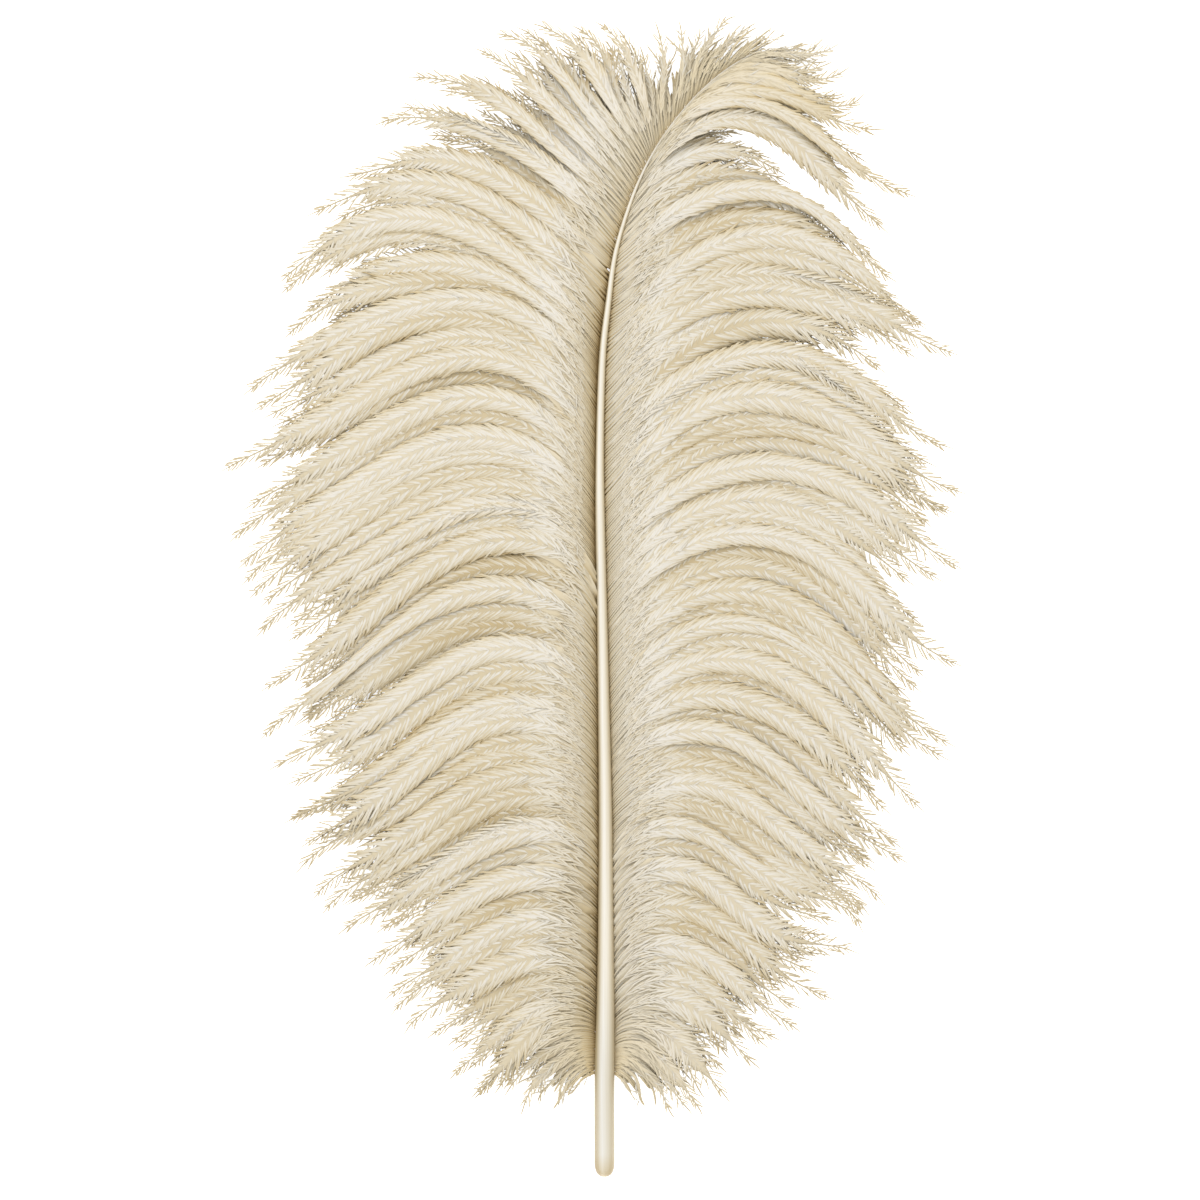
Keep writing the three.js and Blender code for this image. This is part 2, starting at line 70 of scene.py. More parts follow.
# Plan curves of the traced barbs, shaft to tip, in order from the quill to the shaft's tip.
LEFT_BARBS = [
    [(-4.5, 44.7), (-7.5, 44.3), (-10.5, 42.6), (-16.1, 35.3)],
    [(-4.5, 47.3), (-8.4, 48.2), (-12.7, 46.4), (-18.3, 40.4), (-23.9, 29.2)],
    [(-4.5, 55), (-11.4, 55), (-19.1, 51.6), (-25.6, 47.3), (-32, 40.4), (-38.1, 26.7)],
    [(-4.5, 61.9), (-11.4, 64.5), (-20.9, 63.6), (-29.5, 60.2), (-38.1, 54.6), (-48.8, 44.7), (-58.7, 34.4)],
    [(-4.5, 67.1), (-12.7, 73.1), (-23.4, 75.2), (-35.5, 70.1), (-50.1, 60.2), (-62.1, 50.7), (-69.9, 43)],
    [(-4.5, 83), (-14, 92), (-25.2, 95.9), (-37.2, 94.2), (-52.7, 87.7), (-70.7, 77.4), (-80.2, 71.4), (-88.4, 62.4)],
    [(-4.5, 98), (-12.3, 104.9), (-23.4, 110.9), (-35.5, 111.4), (-52.2, 104.9), (-71.6, 94.6), (-83.6, 86.4), (-96.5, 77)],
    [(-4.5, 117.4), (-12.3, 124.7), (-22.6, 129.4), (-34.6, 129.9), (-49.2, 124.7), (-66.4, 116.1), (-79.3, 108.4), (-93.1, 98.9), (-105.6, 90.3)],
    [(-4.5, 133.3), (-12.3, 142.8), (-22.6, 148.8), (-34.6, 150.1), (-49.2, 146.2), (-66.4, 137.6), (-83.6, 126.4), (-100.8, 116.1), (-117.2, 105.3)],
    [(-4.5, 155.7), (-13.1, 165.1), (-23.4, 171.6), (-35.5, 174.2), (-47.5, 172.4), (-59.6, 166.4), (-76.3, 155.7), (-95.7, 143.6), (-111.6, 133.3), (-127.5, 120.4)],
    [(-4.1, 182.8), (-12.3, 192.6), (-24.3, 200.4), (-37.2, 204.2), (-49.2, 203.4), (-61.3, 198.7), (-73.3, 192.2), (-89.7, 179.7), (-107.7, 168.1), (-125.8, 158.2), (-137.8, 152.7)],
    [(-3.7, 205.5), (-11.4, 215.4), (-22.6, 223.6), (-34.6, 227.9), (-46.7, 227.9), (-58.7, 224.9), (-72.9, 217.6), (-90.1, 206.8), (-109.4, 193.9), (-128.8, 184.9), (-145.1, 177.2)],
    [(-3.7, 227.9), (-11.4, 239.1), (-22.6, 247.2), (-34.6, 251.5), (-46.7, 252.8), (-58.7, 251.1), (-70.7, 246.8), (-85.4, 236.9), (-102.1, 224.5), (-121.5, 210.7), (-138.2, 197.4), (-148.1, 189.6)],
    [(-3.7, 248.5), (-14.8, 265.3), (-27.7, 272.2), (-39.8, 275.6), (-51.4, 274.3), (-61.3, 270.9), (-78, 261), (-97.4, 246.8), (-112, 234.8), (-127.5, 222.7), (-147.3, 210.7)],
    [(-3.7, 266.2), (-13.1, 277.4), (-25.2, 285.5), (-37.2, 289.8), (-49.2, 290.2), (-61.3, 288.5), (-73.3, 283.4), (-87.9, 277.8), (-106.9, 268.3), (-121.5, 258.9), (-139.5, 246.8), (-151.6, 235.2)],
    [(-3.7, 286.4), (-9.7, 295.8), (-19.1, 304), (-30.3, 311.3), (-41.9, 316.9), (-54, 318.6), (-66, 317.3), (-80.6, 313), (-94.8, 305.7), (-112, 295.8), (-127.5, 285.9), (-145.6, 274.3), (-157.6, 263.6)],
    [(-3.2, 312.2), (-9.2, 322.5), (-20.4, 336.7), (-32.5, 345.3), (-44.5, 351.3), (-56.5, 353), (-70.7, 351.3), (-85.4, 345.7), (-102.1, 334.5), (-118.9, 325.1), (-133.5, 319.1), (-148.1, 310.5), (-162.3, 304)],
    [(-2.4, 338), (-10.5, 350), (-20.4, 359.5), (-32.5, 369.4), (-44.5, 375.4), (-56.5, 377.5), (-70.7, 377.5), (-85.4, 374.1), (-102.1, 368.1), (-121.5, 359.1), (-139.5, 348.7), (-153.7, 338)],
    [(-1.1, 359.5), (-10.5, 371.5), (-22.6, 382.3), (-34.6, 391.7), (-46.7, 400.3), (-58.7, 407.2), (-70.7, 411.5), (-85.4, 412.8), (-102.1, 410.2), (-115.5, 404.2), (-130.1, 394.3), (-139.5, 385.3)],
    [(1.1, 375), (-5.8, 383.6), (-17.8, 394.3), (-29.9, 405.5), (-41.9, 414.9), (-54, 422.3), (-66, 427), (-80.6, 428.3), (-97.4, 425.7), (-115.5, 419.7), (-127.1, 413.7)],
    [(3.7, 390.9), (-8.4, 401.2), (-20.4, 411.5), (-32.5, 421), (-44.5, 429.6), (-56.5, 435.2), (-70.7, 437.3), (-85.4, 435.6), (-102.1, 433), (-114.2, 430)],
    [(7.1, 403.3), (-0.6, 412.8), (-8.4, 420.5), (-20.4, 431.3), (-32.5, 440.8), (-44.5, 447.2), (-56.5, 451.5), (-70.7, 455.8), (-85.4, 457.1), (-98.7, 453.2)],
    [(10.1, 414.1), (-1.1, 425.7), (-13.1, 436.4), (-22.6, 445.5), (-32.5, 454.1), (-41.9, 461), (-54, 467.8), (-67.3, 472.6), (-84.5, 474.3)],
    [(12.7, 421.4), (3.7, 432.6), (-5.8, 443.3), (-15.7, 454.1), (-25.2, 463.5), (-34.6, 472.6), (-44.5, 479.9), (-55.7, 485.9)],
    [(15.7, 429.1), (8.4, 439.5), (1.5, 448.9), (-7.1, 460.1), (-15.7, 471.7), (-25.2, 482.5), (-37.2, 489.8), (-48.8, 491.9)],
    [(19.1, 436.4), (13.1, 446.3), (7.1, 455.8), (-0.2, 467.8), (-7.5, 479.4), (-16.6, 489.3), (-31.2, 497.1)],
    [(22.1, 442), (19.6, 454.5), (16.6, 466.6), (12.7, 479.9), (6.7, 491.1), (-2.8, 498.8)],
    [(26, 448.5), (24.7, 457.1), (24.3, 465.7), (24.7, 477.7), (23.9, 489.8), (21.3, 497.5)],
    [(31.6, 455.8), (32.5, 463.5), (33.8, 471.3), (34.6, 479.9), (34.6, 488.5), (32.9, 497.9)],
    [(37.2, 462.2), (38.5, 470), (40.6, 478.2), (44.5, 485), (48.8, 491.9), (56.1, 499.2)],
    [(44.5, 470), (47.9, 477.3), (52.7, 483.8), (58.7, 489.8), (65.1, 494.5)],
    [(54.4, 478.6), (59.1, 483.8), (64.3, 488.3), (70.7, 493.6)],
    [(63.9, 485), (67.3, 487.8), (71.6, 490), (76.8, 492.3)],
]
RIGHT_BARBS = [
    [(4.5, 44.7), (7.1, 43.9), (10.1, 41.3), (15.3, 33.1)],
    [(4.5, 49.9), (10.1, 52), (15.3, 49.4), (21.3, 43.4), (27.3, 34), (32, 25.4)],
    [(4.9, 54.2), (10.1, 58), (17.4, 58), (24.7, 53.3), (32, 44.7), (39.3, 35.3), (45.4, 27.1)],
    [(4.9, 59.3), (12.7, 65.4), (21.3, 65.4), (29.5, 60.6), (39.3, 52), (47.5, 41.3), (54.8, 31.8)],
    [(4.9, 65.8), (12.7, 73.5), (22.1, 77.4), (32, 77.4), (41.5, 72.7), (51.4, 65.4), (60.8, 54.6), (68.6, 46.4)],
    [(4.9, 83), (11, 92.9), (20, 98.9), (29.5, 100.2), (39.3, 97.6), (48.8, 91.6), (60.8, 80.8), (72.9, 71.4), (85.8, 62.4)],
    [(4.9, 97.2), (11, 107.5), (20, 114.4), (29.5, 117), (39.3, 115.2), (48.8, 110.1), (60.4, 102.3), (73.3, 91.6), (86.6, 83.4), (100, 77.8)],
    [(4.5, 115.2), (10.1, 124.3), (20, 131.6), (29.5, 133.7), (39.3, 131.6), (48.8, 126.8), (58.3, 119.5), (68.2, 110.1), (81.9, 103.6), (97, 100.2), (109.9, 96.8)],
    [(4.5, 133.3), (11, 142.8), (21.3, 149.6), (32.5, 151.8), (43.6, 148.8), (55.7, 141), (67.7, 131.6), (81.5, 126), (97, 119.5), (112.9, 107.1)],
    [(4.1, 151.8), (12.7, 160), (24.7, 166.8), (36.8, 169.8), (48.8, 168.1), (60.8, 162.5), (72.9, 153.1), (84.9, 144.5), (97, 136.7), (109, 128.1), (120.2, 117.8)],
    [(3.2, 171.1), (11, 180.6), (22.1, 188.3), (34.2, 192.2), (46.2, 192.6), (58.3, 188.3), (70.3, 181), (82.3, 171.1), (95.2, 159.1), (109, 148.8), (130.5, 135.9)],
    [(2.8, 190.5), (9.2, 199.9), (21.3, 210.7), (33.3, 218), (45.4, 222.7), (57.4, 224), (69.4, 220.2), (81.5, 214.1), (93.5, 204.7), (103, 194.8), (115, 181.9), (127.1, 169), (137, 158.7)],
    [(1.9, 217.6), (9.2, 227.5), (21.3, 238.2), (33.3, 246.8), (45.4, 251.5), (57.4, 252.8), (69.4, 251.5), (81.5, 248.1), (93.5, 236.9), (103, 227.5), (115, 215.4), (127.1, 204.7), (139.1, 193.9), (150.3, 187)],
    [(1.5, 239.1), (9.2, 249), (21.3, 261), (33.3, 269.6), (45.4, 274.3), (57.4, 276.9), (69.4, 277.4), (81.5, 274.3), (93.5, 268.3), (105.6, 258.9), (117.6, 248.1), (129.6, 236.9), (141.7, 227.5), (153.3, 221)],
    [(1.1, 264.9), (9.2, 274.3), (21.3, 286.4), (33.3, 295), (45.4, 301), (57.4, 304.4), (69.4, 305.7), (83.2, 304.4), (96.1, 301), (108.1, 295), (120.2, 287.7), (132.2, 278.2), (144.3, 269.2), (154.2, 263.2)],
    [(0.6, 291.5), (9.2, 302.3), (21.3, 314.3), (33.3, 323.8), (45.4, 331.5), (57.4, 335.8), (69.4, 337.1), (81.5, 335.8), (93.5, 331.1), (105.6, 322.5), (120.2, 314.3), (132.2, 307), (144.3, 300.6), (155.4, 295.4)],
    [(0.6, 312.2), (9.2, 321.6), (21.3, 332), (33.3, 340.6), (45.4, 347), (57.4, 352.6), (69.4, 354.8), (81.5, 355.2), (93.5, 351.3), (105.6, 343.1), (115, 335.8), (127.1, 328.1), (139.1, 321.2), (151.6, 314.3)],
    [(0.2, 346.6), (9.2, 357.3), (21.3, 368.9), (33.3, 378.4), (45.4, 385.7), (57.4, 389.1), (69.4, 388.7), (81.5, 387), (93.5, 383.1), (105.6, 377.1), (117.6, 370.2), (129.6, 363.8), (141.7, 358.2), (153.3, 353)],
    [(1.1, 366.8), (11.8, 374.1), (21.3, 382.3), (33.3, 392.2), (45.4, 399), (57.4, 403.3), (69.4, 404.6), (81.5, 403.3), (93.5, 398.6), (103.8, 392.2), (114.2, 384.4), (126.2, 374.5), (139.1, 364.6)],
    [(5.8, 393.9), (11.8, 399), (21.3, 406.8), (33.3, 415.4), (45.4, 421), (57.4, 424.4), (69.4, 425.7), (81.5, 422.7), (93.5, 415.8), (105.6, 405.5), (117.6, 394.3), (128.4, 385.3)],
    [(11.8, 416.2), (18.7, 424.8), (27.3, 432.6), (39.3, 438.6), (51.4, 441.2), (62.6, 440.3), (72.9, 436.9), (80.6, 433)],
    [(15.7, 427.4), (21.7, 435.2), (29, 442), (39.3, 449.3), (50.1, 454.1), (60.8, 454.9), (72, 451.9), (81.5, 446.3), (88.8, 437.7), (96.1, 430.4), (105.6, 423.6), (115, 414.9), (124.1, 405.5)],
    [(22.1, 440.3), (30.3, 451.1), (41.9, 458.4), (54, 461.8), (64.3, 461.8), (75.5, 458.8), (86.2, 451.1), (98.3, 441.6), (111.6, 432.6), (123.6, 425.7), (135.7, 421.4)],
    [(27.7, 448.5), (36.8, 458.4), (47.5, 464.4), (60, 466.6), (72, 465.7), (86.2, 460.5), (98.3, 454.9), (110.3, 451.9), (122.3, 451.5)],
    [(36.8, 460.1), (46.2, 467.8), (57.4, 471.7), (69.4, 471.7), (81.5, 467.8), (93.5, 461.8), (103, 459.7), (113.3, 464.8)],
    [(46.2, 469.6), (56.1, 475.6), (66.9, 476.9), (76.8, 475.1), (87.5, 472.6), (96.1, 473), (103.8, 476.9)],
    [(57.4, 478.2), (66.9, 481.6), (76.8, 482), (88.8, 481.6), (100, 485)],
    [(65.6, 484), (71.6, 485), (78.5, 486.3), (87.1, 488.1)],
]


# ---------------------------------------------------------------- curve helpers
def smoothstep(x, a, b):
    u = np.clip((x - a) / (b - a), 0.0, 1.0)
    return u * u * (3 - 2 * u)


def natural_spline(x, y):
    """Second derivatives of the natural cubic spline through (x, y); y may have several columns."""
    n = len(x)
    h = np.diff(x)
    a = np.eye(n)
    b = np.zeros((n,) + y.shape[1:])
    for i in range(1, n - 1):
        a[i, i - 1] = h[i - 1]
        a[i, i] = 2 * (h[i - 1] + h[i])
        a[i, i + 1] = h[i]
        b[i] = 6 * ((y[i + 1] - y[i]) / h[i] - (y[i] - y[i - 1]) / h[i - 1])
    return np.linalg.solve(a, b)


def spline_eval(x, y, m, q):
    q = np.clip(q, x[0], x[-1])
    i = np.clip(np.searchsorted(x, q) - 1, 0, len(x) - 2)
    h = (x[i + 1] - x[i])[:, None]
    u = (q - x[i])[:, None]
    v = (x[i + 1] - q)[:, None]
    return (m[i] * v ** 3 + m[i + 1] * u ** 3) / (6 * h) + (y[i] / h - m[i] * h / 6) * v + (y[i + 1] / h - m[i + 1] * h / 6) * u


def chord(p):
    return np.concatenate([[0.0], np.cumsum(np.linalg.norm(np.diff(p, axis=0), axis=1))])


# ---------------------------------------------------------------- the shaft as a function of the distance along it
_x = chord(SHAFT_LINE[:, :3])
_m = natural_spline(_x, SHAFT_LINE)
_fine = spline_eval(_x, SHAFT_LINE, _m, np.linspace(0, _x[-1], 3000))
SHAFT_D = chord(_fine[:, :3])
SHAFT_LENGTH = SHAFT_D[-1]


def shaft_at(d):
    """(x, y, z, half width) and the unit vector to the right of the shaft, at distances d."""
    d = np.atleast_1d(d)
    p = np.stack([np.interp(d, SHAFT_D, _fine[:, k]) for k in range(4)], axis=1)
    e = 1.0
    a = np.stack([np.interp(np.clip(d - e, 0, SHAFT_LENGTH), SHAFT_D, _fine[:, k]) for k in range(2)], axis=1)
    b = np.stack([np.interp(np.clip(d + e, 0, SHAFT_LENGTH), SHAFT_D, _fine[:, k]) for k in range(2)], axis=1)
    t = b - a
    t /= np.linalg.norm(t, axis=1)[:, None]
    side = np.stack([t[:, 1], -t[:, 0]], axis=1)
    return p, side


# ---------------------------------------------------------------- families of barbs
M = 97
S = np.linspace(0, 1, M)


def smooth_curve(points):
    """A traced plan curve, smoothed, at M points equally spaced along it."""
    p = np.array(points, float)
    c = chord(p)
    c /= c[-1]
    degree = min(5, len(p) - 1)
    w = np.ones(len(p))
    w[0] = w[-1] = 6
    out = []
    for k in range(2):
        f = np.polynomial.chebyshev.Chebyshev.fit(c, p[:, k], degree, w=w, domain=[0, 1])
        out.append(f(np.linspace(0, 1, 400)))
    q = np.stack(out, axis=1)
    d = chord(q)
    return np.stack([np.interp(S * d[-1], d, q[:, k]) for k in range(2)], axis=1), d[-1]


class Family:
    """All the barbs of one side: interpolates between the traced ones."""

    def __init__(self, barbs, sign):
        self.sign = sign
        curves, lengths, roots = [], [], []
        for b in barbs:
            q, length = smooth_curve(b)
            d2 = (_fine[:, 0] - b[0][0]) ** 2 + (_fine[:, 1] - b[0][1]) ** 2
            roots.append(SHAFT_D[np.argmin(d2)])
            curves.append(q - q[0])
            lengths.append(length)
        self.curves = np.array(curves)
        self.lengths = np.array(lengths)
        self.roots = np.array(roots)
        self.n = len(barbs)

    def root_d(self, g):
        return np.interp(g, np.arange(self.n), self.roots)

    def length(self, g):
        return np.interp(g, np.arange(self.n), self.lengths)

    def offsets(self, g, s):
        """Plan offsets from the root of barb g (k values) at shares s (k by m)."""
        g = np.clip(np.atleast_1d(g), 0, self.n - 1 - 1e-6)
        i = g.astype(int)
        w = (g - i)[:, None]
        x = np.clip(s, 0, 1.12) * (M - 1)      # straight on past the traced end
        j = np.clip(x.astype(int), 0, M - 2)
        f = x - j
        out = []
        for k in range(2):
            a = self.curves[i[:, None], j, k] * (1 - f) + self.curves[i[:, None], j + 1, k] * f
            b = self.curves[i[:, None] + 1, j, k] * (1 - f) + self.curves[i[:, None] + 1, j + 1, k] * f
            out.append(a * (1 - w) + b * w)
        return np.stack(out, axis=2)

    def plan(self, g, s):
        """Plan positions of barb g at shares s, rooted on the side of the shaft."""
        p, side = shaft_at(self.root_d(g))
        root = p[:, :2] + self.sign * side * (p[:, 3] * 0.62)[:, None]
        return root[:, None, :] + self.offsets(g, s)


left = Family(LEFT_BARBS, -1)
right = Family(RIGHT_BARBS, 1)


# ---------------------------------------------------------------- ropes of barbs
ROPE_SPACING = 7.8        # between neighbouring ropes at mid barb, mm
K = 81                    # points along a barb
Q = np.linspace(0, 1, K)

CREST = 12.4              # height of the vane's crest
UPPER, LOWER = 0.5, -0.6  # heights of the two layers of ropes about it
UNDER = -1.7              # and of the ropes beneath them


def rope_places(fam):
    """Positions in the family: one rope on every traced barb, lower ones between. Returns places and layers."""
    k0 = np.arange(fam.n)

    def gaps(at):
        two = fam.plan(k0, np.array([[at - 0.01, at + 0.01]]) * np.ones((fam.n, 1)))
        mid = two.mean(axis=1)
        t = two[:, 1] - two[:, 0]
        t /= np.linalg.norm(t, axis=1)[:, None]
        r = mid[1:] - mid[:-1]
        tt = t[1:] + t[:-1]
        tt /= np.linalg.norm(tt, axis=1)[:, None]
        return np.abs(r[:, 0] * tt[:, 1] - r[:, 1] * tt[:, 0])

    near, far = gaps(0.45), gaps(0.72)
    places, layers = [], []
    for i in range(fam.n - 1):
        share = i / (fam.n - 1)
        fine = 1 - 0.40 * float(smoothstep(share, 0.62, 0.84)) - 0.25 * float(1 - smoothstep(share, 0.02, 0.12))
        k = max(1, int(round(near[i] / (ROPE_SPACING * fine))), int(round(far[i] / (9.0 * fine))))
        if share > 0.66 and fam.sign < 0:
            k = max(k, 2)
        if share > 0.90:
            k = max(k, 2)
        for j in range(k):
            if j == 0:
                places.append(float(i))
                layers.append(UPPER + rng.normal(0, 0.35))
            else:
                places.append(i + (j + rng.uniform(-0.14, 0.14)) / k)
                layers.append((LOWER if k < 4 or j % 2 else 0.4) + rng.normal(0, 0.45))
    places.append(fam.n - 1 - 1e-6)
    layers.append(UPPER)
    return np.array(places), np.array(layers)


def wander(n, amplitude, waves):
    """n smooth random lines along a barb, 0 at the root and growing outwards."""
    out = np.zeros((n, K))
    for k in range(1, waves + 1):
        a = rng.normal(0, 1, (n, 1)) / k
        ph = rng.uniform(0, 2 * np.pi, (n, 1))
        out += a * np.sin(2 * np.pi * k * 0.6 * Q[None, :] + ph)
    out -= out[:, :1]
    return amplitude * out * smoothstep(Q, 0.08, 0.7)[None, :]


def height(q, length, root_z, layer):
    """Height of the top of a barb: rising out of the groove beside the shaft, cresting and drooping to the tips."""
    d = q * length
    rise = np.minimum(19.0, 0.4 * length)
    crest = 5.5 + (CREST - 5.5) * smoothstep(length, 5.0, 95.0)
    up = 1 - (1 - np.clip(d / rise, 0, 1)) ** 1.9
    top = root_z + (crest - root_z) * up
    fall = np.clip((q - 0.24) / 0.76, 0, 1) ** 1.25
    z = top + (1.9 - crest) * fall
    layers = layer * smoothstep(d, 14.0, 40.0) * (1 - smoothstep(q, 0.42, 0.92)) * smoothstep(length, 10, 80)
    return np.maximum(z + layers, 1.0)


def build_side(fam):
    """All barbs of one side: crest lines (n, K, 3), lengths, half-width W and half-height H of their plumage."""
    g0, layer = rope_places(fam)
    n = len(g0)
    guide = np.abs(g0 - np.round(g0)) < 1e-3
    # towards the shaft's tip the barbs between the traced ones end sooner and leave slits
    share = g0 / (fam.n - 1)
    ragged = smoothstep(share, 0.50, 0.66) * (1 - smoothstep(share, 0.86, 0.94))
    reach = np.where(guide, 1.0 + 0.02 * (1 - ragged), rng.uniform(0.88, 1.03, n) * (1 - ragged) + rng.uniform(0.66, 0.92, n) * ragged)
    reach = reach + 0.05 * smoothstep(share, 0.86, 0.96)
    slim = 1.0 - 0.26 * smoothstep(share, 0.66, 0.80) * (1.0 if fam.sign < 0 else 0.5)
    before = np.concatenate([[0.0], np.diff(g0)])
    after = np.concatenate([np.diff(g0), [0.0]])

    centre = fam.plan(g0, Q[None, :] * reach[:, None])
    tangent = np.gradient(centre, axis=1)
    tangent /= np.linalg.norm(tangent, axis=2)[:, :, None]
    normal = np.stack([-tangent[:, :, 1], tangent[:, :, 0]], axis=2)
    centre = centre + normal * (wander(n, 1.1, 3) * np.where(guide, 0.6, 1.3)[:, None])[:, :, None]
    rel = centre[1:] - centre[:-1]
    tm = tangent[1:] + tangent[:-1]
    tm /= np.linalg.norm(tm, axis=2)[:, :, None]
    perp = np.abs(rel[:, :, 0] * tm[:, :, 1] - rel[:, :, 1] * tm[:, :, 0])
    pitch = np.concatenate([perp[:1], 0.25 * (perp[1:] + perp[:-1]) + 0.5 * np.maximum(perp[1:], perp[:-1]), perp[-1:]])
    pitch = np.clip(pitch, 1.2, 12.0)

    # five barbs join in a rope, seven where the roots are far apart
    count = np.where(pitch[:, :6].mean(axis=1) > 6.8, 7, 5)
    barbs = []
    n0 = len(g0)
    for lane in (-3, -2, -1, 0, 1, 2, 3, 9):
        main = lane == 0
        under = lane == 9
        pick = np.where(fam.length(g0[:-1]) * reach[:-1] > 22)[0] if under else np.where((np.abs(lane) <= 2) | (count == 7))[0]
        n = len(pick)
        shift = np.full(n, 0.5) if under else lane / count[pick]
        g = np.clip(g0[pick] + np.where(shift < 0, before[pick], after[pick]) * shift, 0, fam.n - 1)
        last = np.abs(lane) * 2 > count[pick] - 2
        share = np.ones(n) if main else (rng.uniform(0.60, 0.78, n) if under else
                                         np.where(last, rng.uniform(0.72, 0.92, n), rng.uniform(0.42, 0.62, n)))
        r = reach[pick] * share
        own = fam.plan(g, Q[None, :] * r[:, None])
        length = fam.length(g) * r
        d = Q[None, :] * length[:, None]
        x = np.clip(Q[None, :] * share[:, None], 0, 1) * (K - 1)
        a = np.clip(x.astype(int), 0, K - 2)
        f = (x - a)[:, :, None]
        idx = pick[:, None]
        rope = centre[idx, a] * (1 - f) + centre[idx, a + 1] * f
        nrm = normal[idx, a]
        wide = pitch[idx, a]
        e = length[:, None] - d
        if main or under:
            plan = own if under else rope
            drop = 0.0
            W = np.minimum(0.64 * wide, 5.8 * (1 - np.exp(-np.maximum(e - 4.0, 0) / 12.5)))
            W = np.minimum(W, 5.6) * (1 + wander(n, 0.10, 3)) * (1.10 if under else 1.0) * slim[idx]
        else:
            side_of = lane * 2.0 / (count[pick] - 1)
            outer = np.abs(side_of) > 0.9
            off = (side_of * 0.5 + rng.normal(0, 0.12, n))[:, None] * np.minimum(wide, 9.0) * 0.5 * smoothstep(d, 12, 40)
            fan = (side_of * 3.4 + rng.normal(0, 1.7, n))[:, None]
            off = off + fan * smoothstep(Q, 0.5, 1.0)[None, :] ** 1.4
            gather = smoothstep(d, 12.0, 42.0)[:, :, None]
            plan = own * (1 - gather) + (rope + nrm * off[:, :, None]) * gather
            drop = -(rng.uniform(-0.1, 0.6, n) + np.where(outer, 0.0, 0.5))[:, None] * smoothstep(d, 10, 40) * (1 - smoothstep(Q, 0.5, 0.95))[None, :]
            W = np.minimum(0.20 * wide + 1.5 * smoothstep(d, 10, 40), 3.6 * (1 - np.exp(-np.maximum(e - 3.5, 0) / 9.0)))
        p, _ = shaft_at(fam.root_d(g))
        root_z = p[:, 2] - 0.50 * p[:, 3]
        z = height(Q[None, :], length[:, None], root_z[:, None], np.full((n, 1), UNDER) if under else layer[pick, None]) + drop
        z = z + rng.normal(0, 0.2, (n, 1)) * smoothstep(d, 5, 20) + wander(n, 0.5 if main else 0.3, 4) * (1 - 0.6 * smoothstep(Q, 0.7, 1.0))[None, :]
        z = np.maximum(z, 0.9)
        W = np.maximum(W, 0.05)
        H = np.minimum(W * 0.28, z * 0.45) * (0.25 + 0.75 * smoothstep(d, 10, 38))
        barbs.append(dict(p=np.concatenate([plan, z[:, :, None]], axis=2), length=length, W=W, H=H, pitch=wide,
                          main=np.full(n, main), under=np.full(n, under),
                          bears=np.full(n, False) if (main or under) else outer,
                          layer=np.full(n, UNDER) if under else layer[pick], g=g, count=count[pick], thick=p[:, 3]))
    out = {k: np.concatenate([b[k] for b in barbs]) for k in barbs[0]}
    t = np.gradient(out["p"], axis=1)
    t /= np.linalg.norm(t, axis=2)[:, :, None] + 1e-12
    side = np.stack([-t[:, :, 1], t[:, :, 0], np.zeros(t.shape[:2])], axis=2)
    side /= np.linalg.norm(side, axis=2)[:, :, None] + 1e-12
    out["t"], out["side"], out["up"] = t, side, np.cross(t, side)
    out["up"] *= np.sign(out["up"][:, :, 2:3])
    out["left"] = np.full(len(out["length"]), 1.0 if fam.sign < 0 else 0.0)
    out["seed"] = rng.uniform(0, 1, len(out["length"]))
    out["place"] = out["g"] / (fam.n - 1)
    # how deep in the plumage a barb lies: 0 on top, 1 below
    out["depth"] = np.where(out["under"], 0.5, np.clip((UPPER - out["layer"]) / (UPPER - LOWER), 0, 1.6))
    return out


def shade(b, row, d, q, painted_relief):
    """Colour coordinate: 0 pale cream on top of the ropes, 1 tan: painted shade in the groove beside the shaft (deeper
    on the left) and on the ropes deep in the plumage; the tips are tan as well.
    """
    # painted shade: the groove beside the shaft is darkened, more on the left side, less where the shaft is thin and at
    # the lowest barbs
    lf = b["left"][row]
    thick = smoothstep(b["thick"][row], 0.5, 1.7)
    root = (0.66 + 0.34 * lf) * (0.22 + 0.78 * thick) * np.exp(-np.maximum(d - 1.2, 0) / ((2.6 + 2.6 * lf) * (0.4 + 0.6 * thick)))
    root = root + (0.06 + 0.10 * lf) * (1 - smoothstep(d, 12.0, 34.0))
    L = b["length"][row]
    tip = 1 - smoothstep((L - d) / np.clip(L / 115.0, 0.3, 1.0), 4.0, 46.0)
    # the plumage under the ropes, at the shaft's tip and at the lowest barbs stays pale out to its ends: painted light
    # against the shade that falls there
    place = b["place"][row]
    pale = smoothstep(place, 0.82, 0.95) + 0.6 * (1 - smoothstep(place, 0.02, 0.16))
    tip = tip * (1 - 0.45 * np.clip(pale, 0, 1)) * np.where(b["under"][row], 0.8, 1.0)
    mid = smoothstep(d, 12, 34) * (1 - smoothstep(q, 0.4, 0.85))
    low = smoothstep(b["place"][row], 0.03, 0.16)
    root = root * (0.60 + 0.40 * low)
    # painted shade on the lower ropes, by their depth; seed adds a random tone per barb
    u = 0.08 + root + 0.20 * b["depth"][row] * mid + 0.08 * (b["seed"][row] - 0.5)
    return u, painted_relief, tip


def shaft_ends(place):
    """1 for the barbs at the tip of the shaft and the lowest ones, 0 between."""
    return np.clip(smoothstep(place, 0.74, 0.90) + 1 - smoothstep(place, 0.03, 0.18), 0, 1)


def blend_u(u, painted_relief, tip):
    """Painted highlight on the ridges and painted shade down the flanks; the tips even and tan."""
    return np.clip((u + painted_relief) * (1 - tip) + (0.56 + 0.30 * painted_relief) * tip, 0.01, 0.99)


